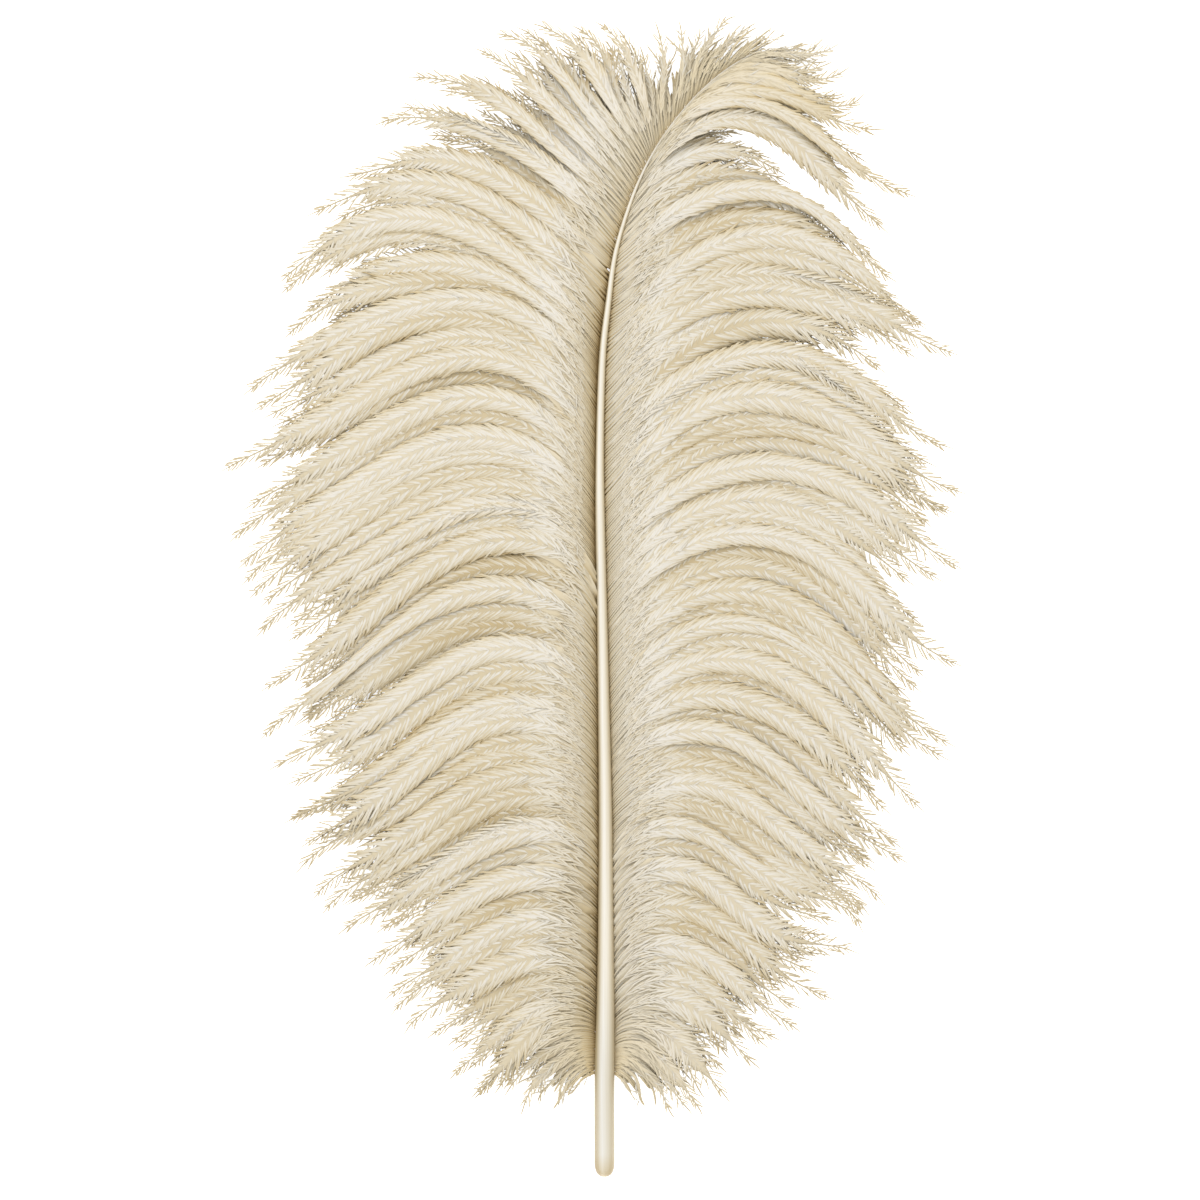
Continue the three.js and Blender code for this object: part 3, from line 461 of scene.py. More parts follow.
def pack(v, tri, uv):
    """Joins n copies of a small mesh (n, k, 3) with triangles (m, 3) and uv (n, k, 2)."""
    n, k = v.shape[:2]
    tris = (tri[None] + (np.arange(n) * k)[:, None, None]).reshape(-1, 3)
    return v.reshape(-1, 3), tris, uv.reshape(-1, 2)


def tube_tri(m, sides):
    tri = []
    for i in range(m - 1):
        for k in range(sides):
            a, c = i * sides + k, i * sides + (k + 1) % sides
            tri += [[a, c, c + sides], [a, c + sides, a + sides]]
    for k in range(1, sides - 1):
        tri.append([0, k + 1, k])
        e = (m - 1) * sides
        tri.append([e, e + k, e + k + 1])
    return np.array(tri)


def rami(b):
    """Three-sided tubes along the barbs: broad ridges side by side at the root, threads further out."""
    n = len(b["length"])
    keep = np.array([0, 1, 2, 3, 5, 7, 10, 14, 19, 25, 32, 40, 49, 58, 66, 72, 76, 80])
    d = Q[None, keep] * b["length"][:, None]
    e = b["length"][:, None] - d
    p = b["p"][:, keep]
    side, up = b["side"][:, keep], b["up"][:, keep]
    plain = (1 - smoothstep(b["thick"], 0.5, 1.5)) + (1 - smoothstep(b["place"], 0.03, 0.16))
    plain = np.clip(plain, 0, 1)[:, None]
    broad = np.minimum((0.50 + 0.08 * plain) * b["pitch"][:, keep] / b["count"][:, None], 0.9)
    half = (broad + (0.36 - broad) * smoothstep(d, 14.0, 36.0)) * (0.70 + 0.30 * smoothstep(d, 0.3, 3.0))
    half = half * (0.80 + 0.20 * smoothstep(e, 0.0, 10.0))
    half[:, -1] = 0.14
    inner = 1 - smoothstep(d, 12.0, 32.0)
    tall = np.minimum(half * (0.95 - 0.40 * plain * inner), 0.6)
    sink = (0.1 + 0.45 * smoothstep(d, 14, 38) * smoothstep(e, 8, 34))[:, :, None]
    v = np.stack([p + up * (tall[:, :, None] - sink),
                  p - side * half[:, :, None] - up * (tall[:, :, None] * 0.6 + sink),
                  p + side * half[:, :, None] - up * (tall[:, :, None] * 0.6 + sink)], axis=2)
    m = len(keep)
    row = np.arange(n)[:, None]
    u, _, tip = shade(b, row, d, Q[None, keep], 0.0)
    # painted highlight on the top edge of each ramus and painted shade on its two lower edges, strongest near the shaft
    deep, top = 0.06 + 0.20 * inner * (1 - 0.65 * plain), 0.06 - 0.10 * inner
    uu = np.stack([blend_u(u, top, tip), blend_u(u, deep, tip), blend_u(u, deep, tip)], axis=2).reshape(n, m * 3)
    nn = np.stack([up, up * 0.8 - side * 0.6, up * 0.8 + side * 0.6], axis=2)
    # painted warm shade: a warmer tint on the lower edges, under the ropes, near the shaft, at the shaft's ends and
    # towards the tips
    shade_warmth = 0.45 * b["under"][:, None] + 0.30 * tip + inner * (0.22 + 0.30 * plain) + 0.35 * shaft_ends(b["place"])[:, None]
    ww = np.stack([0.10 + shade_warmth, 0.70 + shade_warmth, 0.70 + shade_warmth], axis=2).reshape(n, m * 3)
    return v.reshape(n, m * 3, 3), tube_tri(m, 3), np.stack([uu, np.clip(ww, 0.01, 0.99)], axis=2), nn.reshape(n, m * 3, 3)


CORE_SIDES = 8


def cores(b):
    """The dense inside of each rope: a flat tapering tube under its barbules."""
    pick = np.where(b["main"] | b["under"])[0]
    n = len(pick)
    keep = np.array([0, 2, 4, 7, 10, 13, 16, 20, 24, 28, 33, 38, 43, 48, 53, 58, 62, 66, 69, 72, 74])
    length = b["length"][pick]
    d = Q[None, keep] * length[:, None]
    e = length[:, None] - d
    p = b["p"][pick][:, keep]
    side, up = b["side"][pick][:, keep], b["up"][pick][:, keep]
    W, H = b["W"][pick][:, keep], b["H"][pick][:, keep]
    short = np.clip(length / 115.0, 0.3, 1.0)[:, None]
    c = 0.02 + (1.0 + 0.20 * (1 - smoothstep(d, 14.0, 40.0))) * smoothstep(e / short, 12.0, 62.0)
    w = W * c * (0.74 + 0.26 * smoothstep(d, 9.0, 27.0))
    w = w * (0.50 + 0.50 * smoothstep(length, 30.0, 85.0))[:, None]
    w[:, -1] = 0.05
    h = np.maximum(H, 0.25) * (0.4 + 0.6 * smoothstep(e, 4.0, 30.0))
    th = 2 * np.pi * np.arange(CORE_SIDES) / CORE_SIDES + np.pi / CORE_SIDES
    sink = 0.04 + 0.95 * (1 - smoothstep(d, 14.0, 34.0)) + 2.0 * (1 - smoothstep(d, 1.0, 10.0))
    base = p - up * (h + sink)[:, :, None]
    v = base[:, :, None] + side[:, :, None] * (np.cos(th)[None, None] * w[:, :, None])[..., None] \
        + up[:, :, None] * (np.sin(th)[None, None] * h[:, :, None])[..., None]
    m = len(keep)
    row = pick[:, None]
    u, _, tip = shade(b, row, d, Q[None, keep], 0.0)
    # painted shade: the core's top, seen in the gaps between barbules, is tan and its flanks paler; under ropes get
    # less of it
    painted_gap_shade = np.tile(0.10 + 0.24 * np.clip(np.sin(th), 0, 1), m)[None]
    painted_gap_shade = painted_gap_shade * np.where(b["under"][pick], 0.6, 1.0)[:, None]
    u = blend_u(np.repeat(u, CORE_SIDES, axis=1), painted_gap_shade, np.repeat(tip, CORE_SIDES, axis=1))
    out = np.repeat(smoothstep(d, 8.0, 24.0), CORE_SIDES, axis=1)
    # painted warm shade: warmer down the core's flanks and under the ropes
    shade_warmth = (np.tile(0.95 - 0.50 * np.clip(np.sin(th), 0, 1), m)[None] + 0.3 * b["under"][pick][:, None]) * out + 0.30 * (1 - out)
    nn = side[:, :, None] * (np.cos(th)[None, None] / w[:, :, None])[..., None] + up[:, :, None] * (np.sin(th)[None, None] / h[:, :, None])[..., None]
    nn /= np.linalg.norm(nn, axis=3)[..., None]
    nn[..., 2] = np.maximum(nn[..., 2] + 0.3, 0.4)
    return v.reshape(n, -1, 3), tube_tri(m, CORE_SIDES), np.stack([u, np.clip(shade_warmth, 0.01, 0.99)], axis=2), nn.reshape(n, -1, 3), b["g"][pick]


def sample(b, row, d):
    """Crest point, tangent, side, up, W and H of barbs at distances d."""
    L = b["length"][row]
    x = np.clip(d / L, 0, 1) * (K - 1)
    i = np.clip(x.astype(int), 0, K - 2)
    f = x - i
    f3 = f[:, None]
    out = [b[k][row, i] * (1 - f3) + b[k][row, i + 1] * f3 for k in ("p", "t", "side", "up")]
    out += [b[k][row, i] * (1 - f) + b[k][row, i + 1] * f for k in ("W", "H")]
    return out


SPINDLE = np.array([[0, 1, 2], [0, 2, 3], [0, 3, 1], [4, 2, 1], [4, 3, 2], [4, 1, 3]])
LEAF = np.array([[0, 1, 2], [0, 2, 3], [0, 3, 1],
                 [1, 5, 2], [1, 4, 5], [2, 6, 3], [2, 5, 6], [3, 4, 1], [3, 6, 4],
                 [7, 5, 4], [7, 6, 5], [7, 4, 6]])


def row_of_barbules(b, pick, step, ell, a0, a1, wide, lift, both_rings, start=9.0, painted_relief=0.0, jitter=0.12, stop=4.5):
    """One row of barbules on each side of the barbs, laid over the rope from angle a0 to a1 about its top."""
    length = b["length"][pick]
    begin = np.minimum(start, 0.16 * length)
    count = np.maximum(((length - stop - begin) / step).astype(int), 1)
    which = np.repeat(np.arange(len(pick)), count)
    k = np.concatenate([np.arange(c) for c in count])
    phase = rng.uniform(0, 1, len(pick))
    out = []
    pair = rng.normal(0, jitter, len(k))
    for s in (-1.0, 1.0):
        row = pick[which]
        m = len(row)
        L = length[which]
        d = begin[which] + (k + phase[which] + pair + rng.normal(0, jitter * 0.6, m)) * step
        d = np.clip(d, 0.5, L - 5.5)
        q = d / L
        e = L - d
        near = smoothstep(d, 9.0, 34.0)
        size = (0.66 + 0.34 * near) * (0.58 + 0.42 * smoothstep(e, 6.0, 48.0)) * smoothstep(L, -20, 70)
        loose = 1 - smoothstep(e, 22.0, 60.0)
        adv = ell * size * (1 + rng.uniform(-0.16, 0.14, m) * (1 + loose))
        adv = np.minimum(adv, 0.80 * np.maximum(e - 3.0, 1.5))
        strong = (k % 2 == 0)
        bold = np.where(strong, 1.12, 0.84) * rng.uniform(0.82, 1.18, m)
        b0 = np.radians(a0 + rng.normal(0, 2.5, m))
        b1 = np.radians((a1 + rng.normal(0, 9.0, m)) * (0.35 + 0.65 * smoothstep(d, 12.0, 40.0)))
        b0 = np.minimum(b0, b1)
        flare = 1 + np.maximum(rng.normal(0.04, 0.13, m) * (1 + 1.2 * loose), -0.34)
        top = lift + rng.uniform(-0.08, 0.08, m) + np.where(strong, 0.07, -0.05)
        stations = (0.0, 0.14, 0.80, 1.0) if both_rings else (0.0, 0.60, 1.0)
        pts, faces, turn = [], [], []
        for tt in stations:
            P, T, N, U, W, H = sample(b, row, d + adv * tt)
            al = np.minimum(b0 + (b1 - b0) * tt ** 0.85, 1.50)
            turn.append(np.sin(al) ** 2)
            W = np.maximum(W, 0.45 + 1.85 * np.minimum(e / 12.0, 1.0))
            y = s * W * np.sin(al) * (1 + (flare - 1) * tt)
            z = H * (np.cos(al) - 1) + top * np.sin(np.pi * (0.15 + 0.6 * tt)) - 0.08
            pts.append(P + N * y[:, None] + U * z[:, None])
            f = N * (s * np.sin(al) / np.maximum(W, 0.2))[:, None] + U * (np.cos(al) / np.maximum(H, 0.15))[:, None]
            faces.append(f / np.linalg.norm(f, axis=1)[:, None])
        half = wide * (0.48 + 0.52 * near) * (0.62 + 0.38 * size) * bold * (0.64 + 0.36 * smoothstep(e, 12.0, 46.0))
        ring, norm = [], []
        sections = [(1, 0.92), (2, 0.80)] if both_rings else [(1, 1.0)]
        out_of = faces[1] + faces[len(stations) - 2] + np.array([0, 0, 0.35])
        direction = pts[-1] - pts[0]
        direction /= np.linalg.norm(direction, axis=1)[:, None] + 1e-12
        across = np.cross(direction, out_of)
        across /= np.linalg.norm(across, axis=1)[:, None] + 1e-12
        out_of = np.cross(across, direction)
        for j, w in sections:
            hw = (half * w)[:, None]
            ring += [pts[j] + out_of * hw * 0.42, pts[j] - across * hw - out_of * hw * 0.30,
                     pts[j] + across * hw - out_of * hw * 0.30]
            norm += [faces[j], faces[j] * 0.9 - across * 0.34, faces[j] * 0.9 + across * 0.34]
        v = np.stack([pts[0]] + ring + [pts[-1]], axis=1)
        u, _, tip = shade(b, row, d + 0.5 * adv, q, 0.0)
        crisp = (1 - near) * smoothstep(L, 45.0, 95.0)
        faint = 1 - smoothstep(L, 25.0, 80.0)
        # painted light and shade on each barbule: the weaker ones, which lie lower, darker; the ridge vertex lighter as
        # a highlight, the side vertices darker; those turned down the rope's flank darker still
        u = u + painted_relief + np.where(strong, -0.06, 0.11 + 0.16 * crisp - 0.08 * faint) + rng.normal(0, 0.045, m)
        flank_shade = 0.20 + 0.12 * crisp - 0.12 * faint
        shadow = 0.42 * smoothstep(d, 18.0, 42.0)
        cols = [blend_u(u + shadow * turn[0], 0.10, tip)]
        for j, w in sections:
            v1 = u + shadow * turn[j]
            cols += [blend_u(v1, -0.12, tip), blend_u(v1, flank_shade, tip), blend_u(v1, flank_shade, tip)]
        cols.append(blend_u(u + shadow * turn[-1], -0.02, tip))
        uu = np.stack(cols, axis=1)
        # painted warm shade: warmer down the flanks, towards the tips, under the ropes, near the shaft and at the
        # shaft's ends
        ends = shaft_ends(b["place"][row])
        shade_warmth = 0.45 * b["under"][row] + 0.15 * b["bears"][row] + 0.25 * tip + 0.25 * (1 - near) + 0.60 * ends
        deeper = 0.50 * smoothstep(d, 18.0, 42.0)
        ww = [0.25 + shade_warmth + deeper * turn[0]]
        for j, w in sections:
            flank = shade_warmth + deeper * turn[j]
            ww += [0.10 + flank, 0.40 + flank, 0.40 + flank]
        ww.append(0.30 + shade_warmth + deeper * turn[-1])
        ww = np.clip(np.stack(ww, axis=1), 0.01, 0.99)
        tri = LEAF if both_rings else SPINDLE
        nn = np.stack([faces[0]] + norm + [faces[-1]], axis=1) + np.array([0, 0, 0.55])
        nn[:, :, 2] = np.maximum(nn[:, :, 2], 0.50)
        out.append((v, tri, np.stack([uu, ww], axis=2), nn, b["g"][row]))
    return out


def strays(b, pick, per_barb, reach, spread, ell, wide):
    """Loose barbules lying across the plumage."""
    row = np.repeat(pick, per_barb)
    m = len(row)
    L = b["length"][row]
    d = rng.uniform(reach[0], reach[1], m)
    d = np.minimum(d, L * rng.uniform(0.3, 0.85, m))
    P, T, N, U, W, H = sample(b, row, d)
    y = rng.uniform(-0.7, 0.7, m) * W
    ang = np.radians(rng.uniform(spread[0], spread[1], m)) * rng.choice([-1, 1], m)
    direction = T * np.cos(ang)[:, None] + N * np.sin(ang)[:, None]
    size = ell * rng.uniform(0.6, 1.2, m)
    base = P + N * y[:, None] + U * (H * (np.sqrt(np.maximum(1 - (y / W) ** 2, 0)) - 1) + 0.05)[:, None]
    mid = base + direction * (0.45 * size)[:, None] + U * rng.uniform(0.15, 0.45, m)[:, None]
    tip = base + direction * size[:, None] + U * rng.uniform(-0.35, 0.2, m)[:, None]
    across = np.cross(direction, U)
    across /= np.linalg.norm(across, axis=1)[:, None]
    hw = (wide * rng.uniform(0.7, 1.2, m))[:, None]
    v = np.stack([base, mid + U * hw * 0.6, mid - across * hw - U * hw * 0.4, mid + across * hw - U * hw * 0.4, tip], axis=1)
    u, _, t = shade(b, row, d, d / L, 0.0)
    # painted highlight on the top ridge and tip, painted shade at the base and sides of each stray barbule
    light, dark = blend_u(u, -0.13, t), blend_u(u, 0.2, t)
    uu = np.stack([dark, light, dark, dark, light], axis=1)
    ww = np.array([[0.0, 0.3, 0.3, 0.3, 0.8]]) * np.ones((m, 1))
    nn = np.stack([U, U, U * 0.86 - across * 0.5, U * 0.86 + across * 0.5, U], axis=1)
    return [(v, SPINDLE, np.stack([uu, ww], axis=2), nn, b["g"][row])]


def plumage(b):
    """Every mesh part of one side as (vertices, triangles, uv, place in the family)."""
    main = np.where(b["main"])[0]
    other = np.where(~b["main"])[0]
    parts = []
    under = np.where(b["under"])[0]
    other = np.where(b["bears"])[0]
    # the last offsets paint shade on the lower rows and on the rows down the flanks
    parts += row_of_barbules(b, main, 2.5, 10.4, 2, 68, 0.56, 0.12, True, start=9.5)
    parts += row_of_barbules(b, main, 2.5, 9.0, 6, 56, 0.46, 0.06, True, start=12.0, painted_relief=0.06, stop=28.0)
    parts += row_of_barbules(b, main, 2.6, 9.0, 36, 84, 0.56, 0.08, True, painted_relief=0.02, start=34.0, stop=32.0)
    parts += row_of_barbules(b, main, 3.2, 9.4, 62, 86, 0.56, 0.02, False, painted_relief=0.08, start=40.0, stop=42.0)
    parts += row_of_barbules(b, other, 2.7, 8.0, 4, 72, 0.50, 0.12, True, start=10.5, painted_relief=0.02)
    parts += row_of_barbules(b, under, 2.8, 8.8, 4, 72, 0.60, 0.12, True, start=24.0, painted_relief=0.03)
    few = 3 if b["left"][0] > 0.5 else 2
    parts += strays(b, main, few, (18.0, 46.0), (14, 45), 8.0, 0.28)
    parts += strays(b, main, 2, (40.0, 150.0), (8, 34), 7.5, 0.28)
    v, tri, uv, nn = rami(b)
    parts.append((v, tri, uv, nn, b["g"]))
    parts.append(cores(b))
    return parts


# ---------------------------------------------------------------- meshes
def to_row(v):
    """Plume coordinates in mm to the row frame in metres, nothing below the floor."""
    out = np.array(v, float)
    out[:, 0] += PLACE[0]
    out[:, 1] += PLACE[1]
    out[:, 2] = np.maximum(out[:, 2], 0.12)
    return out * MM


def mesh_object(name, v, tris, uv, material, uv_name="OFBake", normals=None):
    me = bpy.data.meshes.new(name)
    me.vertices.add(len(v))
    me.vertices.foreach_set("co", np.ascontiguousarray(v, dtype=np.float32).ravel())
    me.loops.add(len(tris) * 3)
    me.loops.foreach_set("vertex_index", tris.astype(np.int32).ravel())
    me.polygons.add(len(tris))
    me.polygons.foreach_set("loop_start", np.arange(0, len(tris) * 3, 3, dtype=np.int32))
    me.polygons.foreach_set("use_smooth", np.ones(len(tris), dtype=bool))
    me.update(calc_edges=True)
    if uv is not None:
        layer = me.uv_layers.new(name=uv_name)
        layer.data.foreach_set("uv", np.ascontiguousarray(uv[tris.ravel()], dtype=np.float32).ravel())
    me.validate()
    if normals is not None:
        n = np.asarray(normals, float)
        n = n / (np.linalg.norm(n, axis=1)[:, None] + 1e-12)
        me.normals_split_custom_set_from_vertices(n.tolist())
    ob = bpy.data.objects.new(name, me)
    bpy.context.scene.collection.objects.link(ob)
    me.materials.append(material)
    return ob


# ---------------------------------------------------------------- materials
def srgb(r, g, b):
    """sRGB 0-255 to linear, with alpha."""
    out = []
    for c in (r, g, b):
        c /= 255.0
        out.append(c / 12.92 if c <= 0.04045 else ((c + 0.055) / 1.055) ** 2.4)
    return (*out, 1.0)


def new_material(name):
    m = bpy.data.materials.new(name)
    m.use_nodes = True
    nt = m.node_tree
    return m, nt, nt.nodes["Principled BSDF"]


def ramp(nt, stops):
    r = nt.nodes.new("ShaderNodeValToRGB")
    e = r.color_ramp.elements
    while len(e) > 1:
        e.remove(e[0])
    e[0].position, e[0].color = stops[0]
    for pos, col in stops[1:]:
        n = e.new(pos)
        n.color = col
    return r


def barb_material():
    m, nt, bsdf = new_material("plume_barbs")
    uvn = nt.nodes.new("ShaderNodeUVMap")
    uvn.uv_map = "OFBake"
    sep = nt.nodes.new("ShaderNodeSeparateXYZ")
    nt.links.new(uvn.outputs["UV"], sep.inputs[0])
    # pale cream to tan to dark brown: the pale end carries the painted highlights, the tan and brown end the painted
    # shade of flanks, lower ropes and the groove beside the shaft
    along = ramp(nt, [(0.0, srgb(237, 234, 229)), (0.25, srgb(227, 222, 210)), (0.5, srgb(215, 205, 182)), (0.75, srgb(199, 183, 149)),
                      (1.0, srgb(142, 120, 80))])
    nt.links.new(sep.outputs["X"], along.inputs["Fac"])
    # painted warm shade: the second coordinate tints the shaded parts warmer
    out = ramp(nt, [(0.0, (1.0, 1.0, 1.0, 1.0)), (0.35, (0.997, 0.968, 0.905, 1.0)), (0.65, (0.987, 0.93, 0.81, 1.0)), (1.0, (0.965, 0.87, 0.67, 1.0))])
    nt.links.new(sep.outputs["Y"], out.inputs["Fac"])
    mix = nt.nodes.new("ShaderNodeMix")
    mix.data_type = "RGBA"
    mix.blend_type = "MULTIPLY"
    mix.inputs["Factor"].default_value = 1.0
    nt.links.new(along.outputs["Color"], mix.inputs[6])
    nt.links.new(out.outputs["Color"], mix.inputs[7])
    nt.links.new(mix.outputs[2], bsdf.inputs["Base Color"])
    bsdf.inputs["Roughness"].default_value = 0.6
    bsdf.inputs["Specular IOR Level"].default_value = 0.15
    return m


def quill_material():
    m, nt, bsdf = new_material("quill_keratin")
    uvn = nt.nodes.new("ShaderNodeUVMap")
    uvn.uv_map = "around"
    sep = nt.nodes.new("ShaderNodeSeparateXYZ")
    nt.links.new(uvn.outputs["UV"], sep.inputs[0])
    # pale along the back of the quill with a painted highlight just left of its top, and painted shade down both sides;
    # 0 is the right side, 0.25 the top, 0.5 the left side
    col = ramp(nt, [(0.0, srgb(172, 154, 120)), (0.06, srgb(188, 172, 140)), (0.12, srgb(202, 188, 158)), (0.16, srgb(213, 201, 174)),
                    (0.195, srgb(228, 219, 199)), (0.25, srgb(238, 232, 218)), (0.29, srgb(243, 239, 230)), (0.323, srgb(232, 225, 209)),
                    (0.358, srgb(212, 200, 174)), (0.405, srgb(186, 170, 136)), (0.47, srgb(168, 150, 114)), (0.75, srgb(180, 162, 126)),
                    (1.0, srgb(172, 154, 120))])
    nt.links.new(sep.outputs["X"], col.inputs["Fac"])
    tc = nt.nodes.new("ShaderNodeTexCoord")
    mp = nt.nodes.new("ShaderNodeMapping")
    mp.inputs["Scale"].default_value = (1400, 22, 1400)
    nt.links.new(tc.outputs["Object"], mp.inputs["Vector"])
    streak = nt.nodes.new("ShaderNodeTexNoise")
    streak.inputs["Scale"].default_value = 1.0
    streak.inputs["Detail"].default_value = 4.0
    nt.links.new(mp.outputs["Vector"], streak.inputs["Vector"])
    veins = ramp(nt, [(0.32, (0.90, 0.87, 0.80, 1)), (0.62, (1.0, 1.0, 1.0, 1))])
    nt.links.new(streak.outputs["Fac"], veins.inputs["Fac"])
    both = nt.nodes.new("ShaderNodeMix")
    both.data_type = "RGBA"
    both.blend_type = "MULTIPLY"
    both.inputs["Factor"].default_value = 0.6
    nt.links.new(col.outputs["Color"], both.inputs[6])
    nt.links.new(veins.outputs["Color"], both.inputs[7])
    # the closed end of the quill is darker and browner, and the bare quill a little darker than the rest
    end = ramp(nt, [(0.0, (0.70, 0.60, 0.43, 1)), (0.006, (0.80, 0.74, 0.61, 1)), (0.02, (0.90, 0.91, 0.925, 1)),
                    (0.10, (0.90, 0.91, 0.925, 1)), (0.18, (1, 1, 1, 1))])
    nt.links.new(sep.outputs["Y"], end.inputs["Fac"])
    mix = nt.nodes.new("ShaderNodeMix")
    mix.data_type = "RGBA"
    mix.blend_type = "MULTIPLY"
    mix.inputs["Factor"].default_value = 1.0
    nt.links.new(both.outputs[2], mix.inputs[6])
    nt.links.new(end.outputs["Color"], mix.inputs[7])
    nt.links.new(mix.outputs[2], bsdf.inputs["Base Color"])
    bump = nt.nodes.new("ShaderNodeBump")
    bump.inputs["Strength"].default_value = 0.10
    bump.inputs["Distance"].default_value = 0.0002
    nt.links.new(streak.outputs["Fac"], bump.inputs["Height"])
    nt.links.new(bump.outputs["Normal"], bsdf.inputs["Normal"])
    bsdf.inputs["Roughness"].default_value = 0.26
    bsdf.inputs["Specular IOR Level"].default_value = 0.5
    return m


barb_mat = barb_material()
quill_mat = quill_material()

# ---------------------------------------------------------------- the shaft
SIDES = 28


def build_shaft():
    end = 7.0
    a = np.linspace(0.04, 1.0, 14) * np.pi / 2
    d0 = end * (1 - np.cos(a))
    share0 = (1 - (1 - d0 / end) ** 2.7) ** (1 / 2.3)
    d1 = np.linspace(end, SHAFT_LENGTH - 1.5, 330)[1:]
    d2 = SHAFT_LENGTH - 1.5 + np.array([0.6, 1.1, 1.4])
    d = np.concatenate([d0, d1, d2])
    share = np.concatenate([share0, np.ones(len(d1)), [0.85, 0.55, 0.25]])
    p, side = shaft_at(d)
    r = p[:, 3] * share
    t = np.gradient(p[:, :3], axis=0)
    t /= np.linalg.norm(t, axis=1)[:, None]
    right_v = np.concatenate([side, np.zeros((len(d), 1))], axis=1)
    up = np.cross(right_v, t)
    th = 2 * np.pi * np.arange(SIDES) / SIDES
    # round at the quill, squarer with a flatter back along the vane
    sq = smoothstep(d, 35, 110)[:, None]
    c, s = np.cos(th)[None], np.sin(th)[None]
    k = 2.0 + 0.8 * sq
    rad = (np.abs(c) ** k + np.abs(s) ** k) ** (-1 / k)
    x = c * rad
    z = s * rad
    v = p[:, None, :3] + right_v[:, None] * (x * r[:, None])[:, :, None] + up[:, None] * (z * r[:, None])[:, :, None]
    n = len(d)
    tris = []
    i = np.arange(n - 1)[:, None] * SIDES
    kk = np.arange(SIDES)[None]
    a0 = i + kk
    b0 = i + (kk + 1) % SIDES
    tris.append(np.stack([a0, b0 + SIDES, b0], axis=2).reshape(-1, 3))
    tris.append(np.stack([a0, a0 + SIDES, b0 + SIDES], axis=2).reshape(-1, 3))
    first = n * SIDES
    vv = np.concatenate([v.reshape(-1, 3), p[:1, :3] - t[:1] * 0.02, p[-1:, :3] + t[-1:] * 0.1])
    k1 = np.arange(SIDES)
    k2 = (k1 + 1) % SIDES
    tris.append(np.stack([np.full(SIDES, first), k1, k2], axis=1))
    last = (n - 1) * SIDES
    tris.append(np.stack([np.full(SIDES, first + 1), last + k2, last + k1], axis=1))
    tris = np.concatenate(tris)
    # cylindrical map: u around (0.25 on top), v along, the seam under the shaft
    around = np.concatenate([np.tile(np.arange(SIDES) / SIDES, n), [0.25, 0.25]])
    along = np.concatenate([np.repeat(d / SHAFT_LENGTH, SIDES), [0.0, 1.0]])
    cu = around[tris]
    cu = np.where((cu.max(axis=1) - cu.min(axis=1) > 0.5)[:, None] & (cu < 0.5), cu + 1.0, cu)
    cap = tris >= n * SIDES
    cu = np.where(cap, (np.where(cap, 0, cu).sum(axis=1) / 2)[:, None], cu)
    ob = mesh_object("shaft_quill", to_row(vv), tris, None, quill_mat)
    layer = ob.data.uv_layers.new(name="around")
    layer.data.foreach_set("uv", np.stack([cu, along[tris]], axis=2).astype(np.float32).ravel())
    return ob


shaft = build_shaft()
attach(shaft, "root")
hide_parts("shaft")

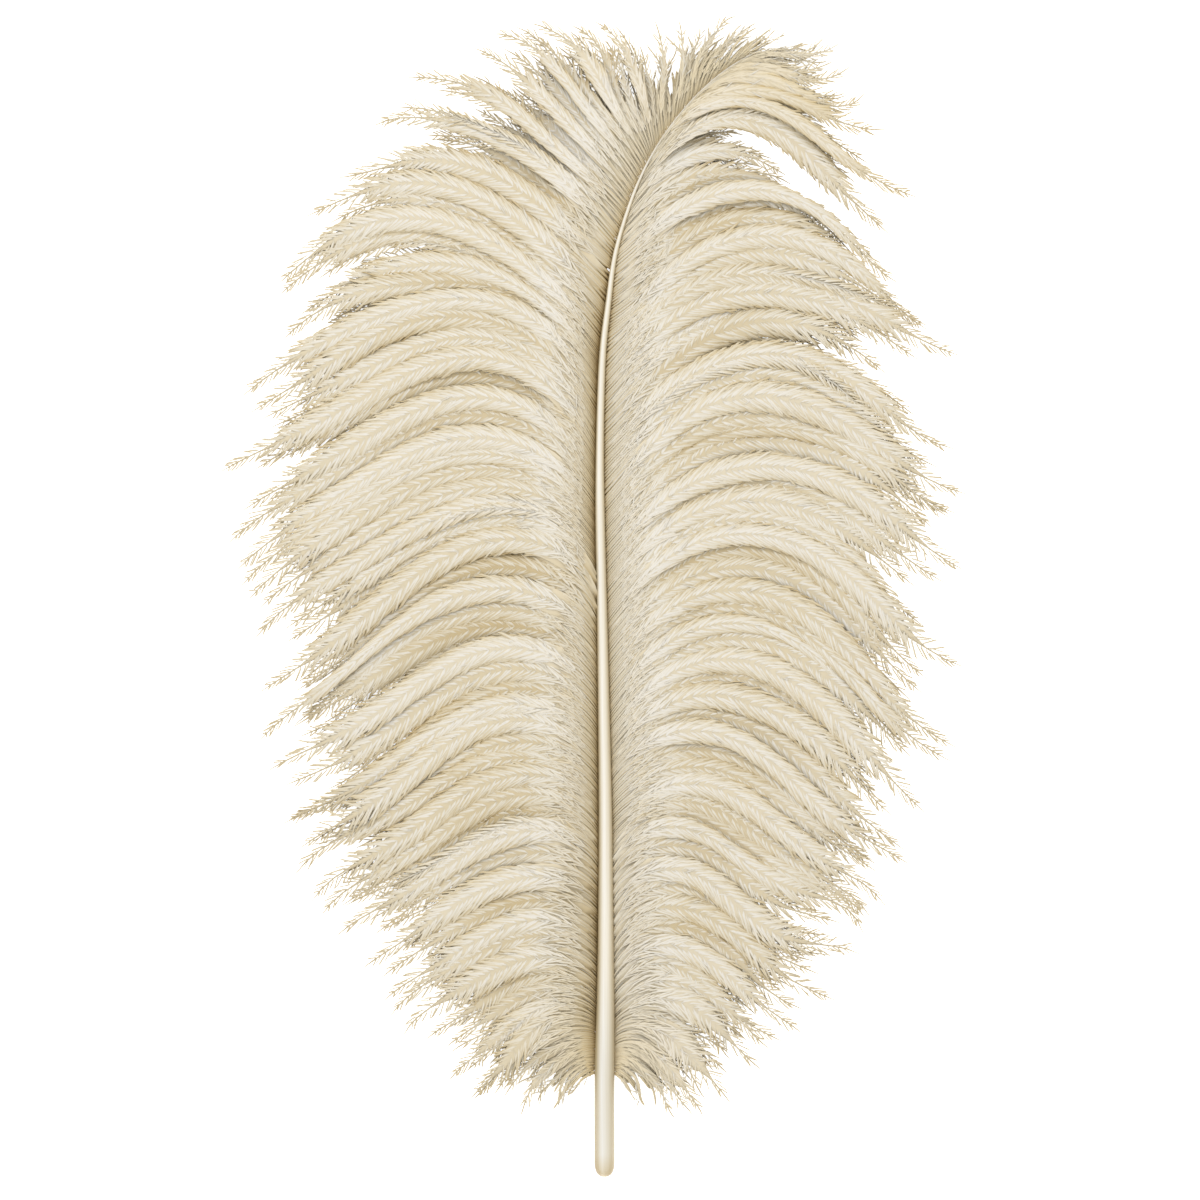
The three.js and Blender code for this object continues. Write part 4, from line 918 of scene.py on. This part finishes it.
# ---------------------------------------------------------------- the vanes
total = 0
for fam, word, pieces in ((left, "left", 3), (right, "right", 3)):
    barbs = build_side(fam)
    parts = plumage(barbs)
    every = np.concatenate([np.repeat(g, len(tri)) for _, tri, _, _, g in parts])
    cuts = np.quantile(every, np.linspace(0, 1, pieces + 1))
    cuts[0], cuts[-1] = -1, 1e9
    for k, name in enumerate(["lower", "middle", "upper"]):
        vs, ts, us, ns, first = [], [], [], [], 0
        for pv, ptri, puv, pn, pg in parts:
            keep = (pg > cuts[k]) & (pg <= cuts[k + 1])
            if not keep.any():
                continue
            v1, t1, u1 = pack(pv[keep], ptri, puv[keep])
            vs.append(v1)
            ts.append(t1 + first)
            us.append(u1)
            ns.append(pn[keep].reshape(-1, 3))
            first += len(v1)
        ob = mesh_object("barbs_%s_%s" % (word, name), to_row(np.concatenate(vs)), np.concatenate(ts), np.concatenate(us), barb_mat,
                         normals=np.concatenate(ns))
        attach(ob, "root")
        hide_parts("vane_" + word)
        total += len(ob.data.polygons)
        print("piece", ob.name, "triangles", len(ob.data.polygons))
print("barb triangles", total, "shaft triangles", len(shaft.data.polygons))

# ---------------------------------------------------------------- floor, light, camera
bpy.ops.mesh.primitive_plane_add(size=60, location=(0, 0, 0))
floor = bpy.context.object
floor.name = "floor"
fm, fnt, fb = new_material("pale_floor")
fb.inputs["Base Color"].default_value = (0.96, 0.96, 0.96, 1)
fb.inputs["Roughness"].default_value = 0.9
fb.inputs["Specular IOR Level"].default_value = 0.1
fb.inputs["Emission Color"].default_value = (1, 1, 1, 1)
fb.inputs["Emission Strength"].default_value = 1.0
floor.data.materials.append(fm)

world = bpy.data.worlds.new("studio")
bpy.context.scene.world = world
world.use_nodes = True
bg = world.node_tree.nodes["Background"]
bg.inputs["Color"].default_value = (1, 1, 1, 1)
bg.inputs["Strength"].default_value = 1.0


def area(name, loc, target, size, power, color=(1, 1, 1)):
    light = bpy.data.lights.new(name, "AREA")
    light.shape = "RECTANGLE"
    light.size, light.size_y = size
    light.energy = power
    light.color = color
    ob = bpy.data.objects.new(name, light)
    ob.location = loc
    ob.rotation_euler = (Vector(target) - Vector(loc)).to_track_quat("-Z", "Y").to_euler()
    bpy.context.scene.collection.objects.link(ob)
    return ob


area("key", (-0.6, 1.4, 1.5), (0, 0.02, 0), (2.2, 1.6), 11.5)

cam_data = bpy.data.cameras.new("camera")
cam = bpy.data.objects.new("camera", cam_data)
bpy.context.scene.collection.objects.link(cam)
cam_data.lens = 135
cam_data.sensor_width = 36
cam_data.clip_end = 100
cam.location = (0.001515, -0.00106, 1.943)
cam.rotation_euler = (0, 0, 0)
bpy.context.scene.camera = cam
bpy.context.scene.view_settings.view_transform = "Standard"
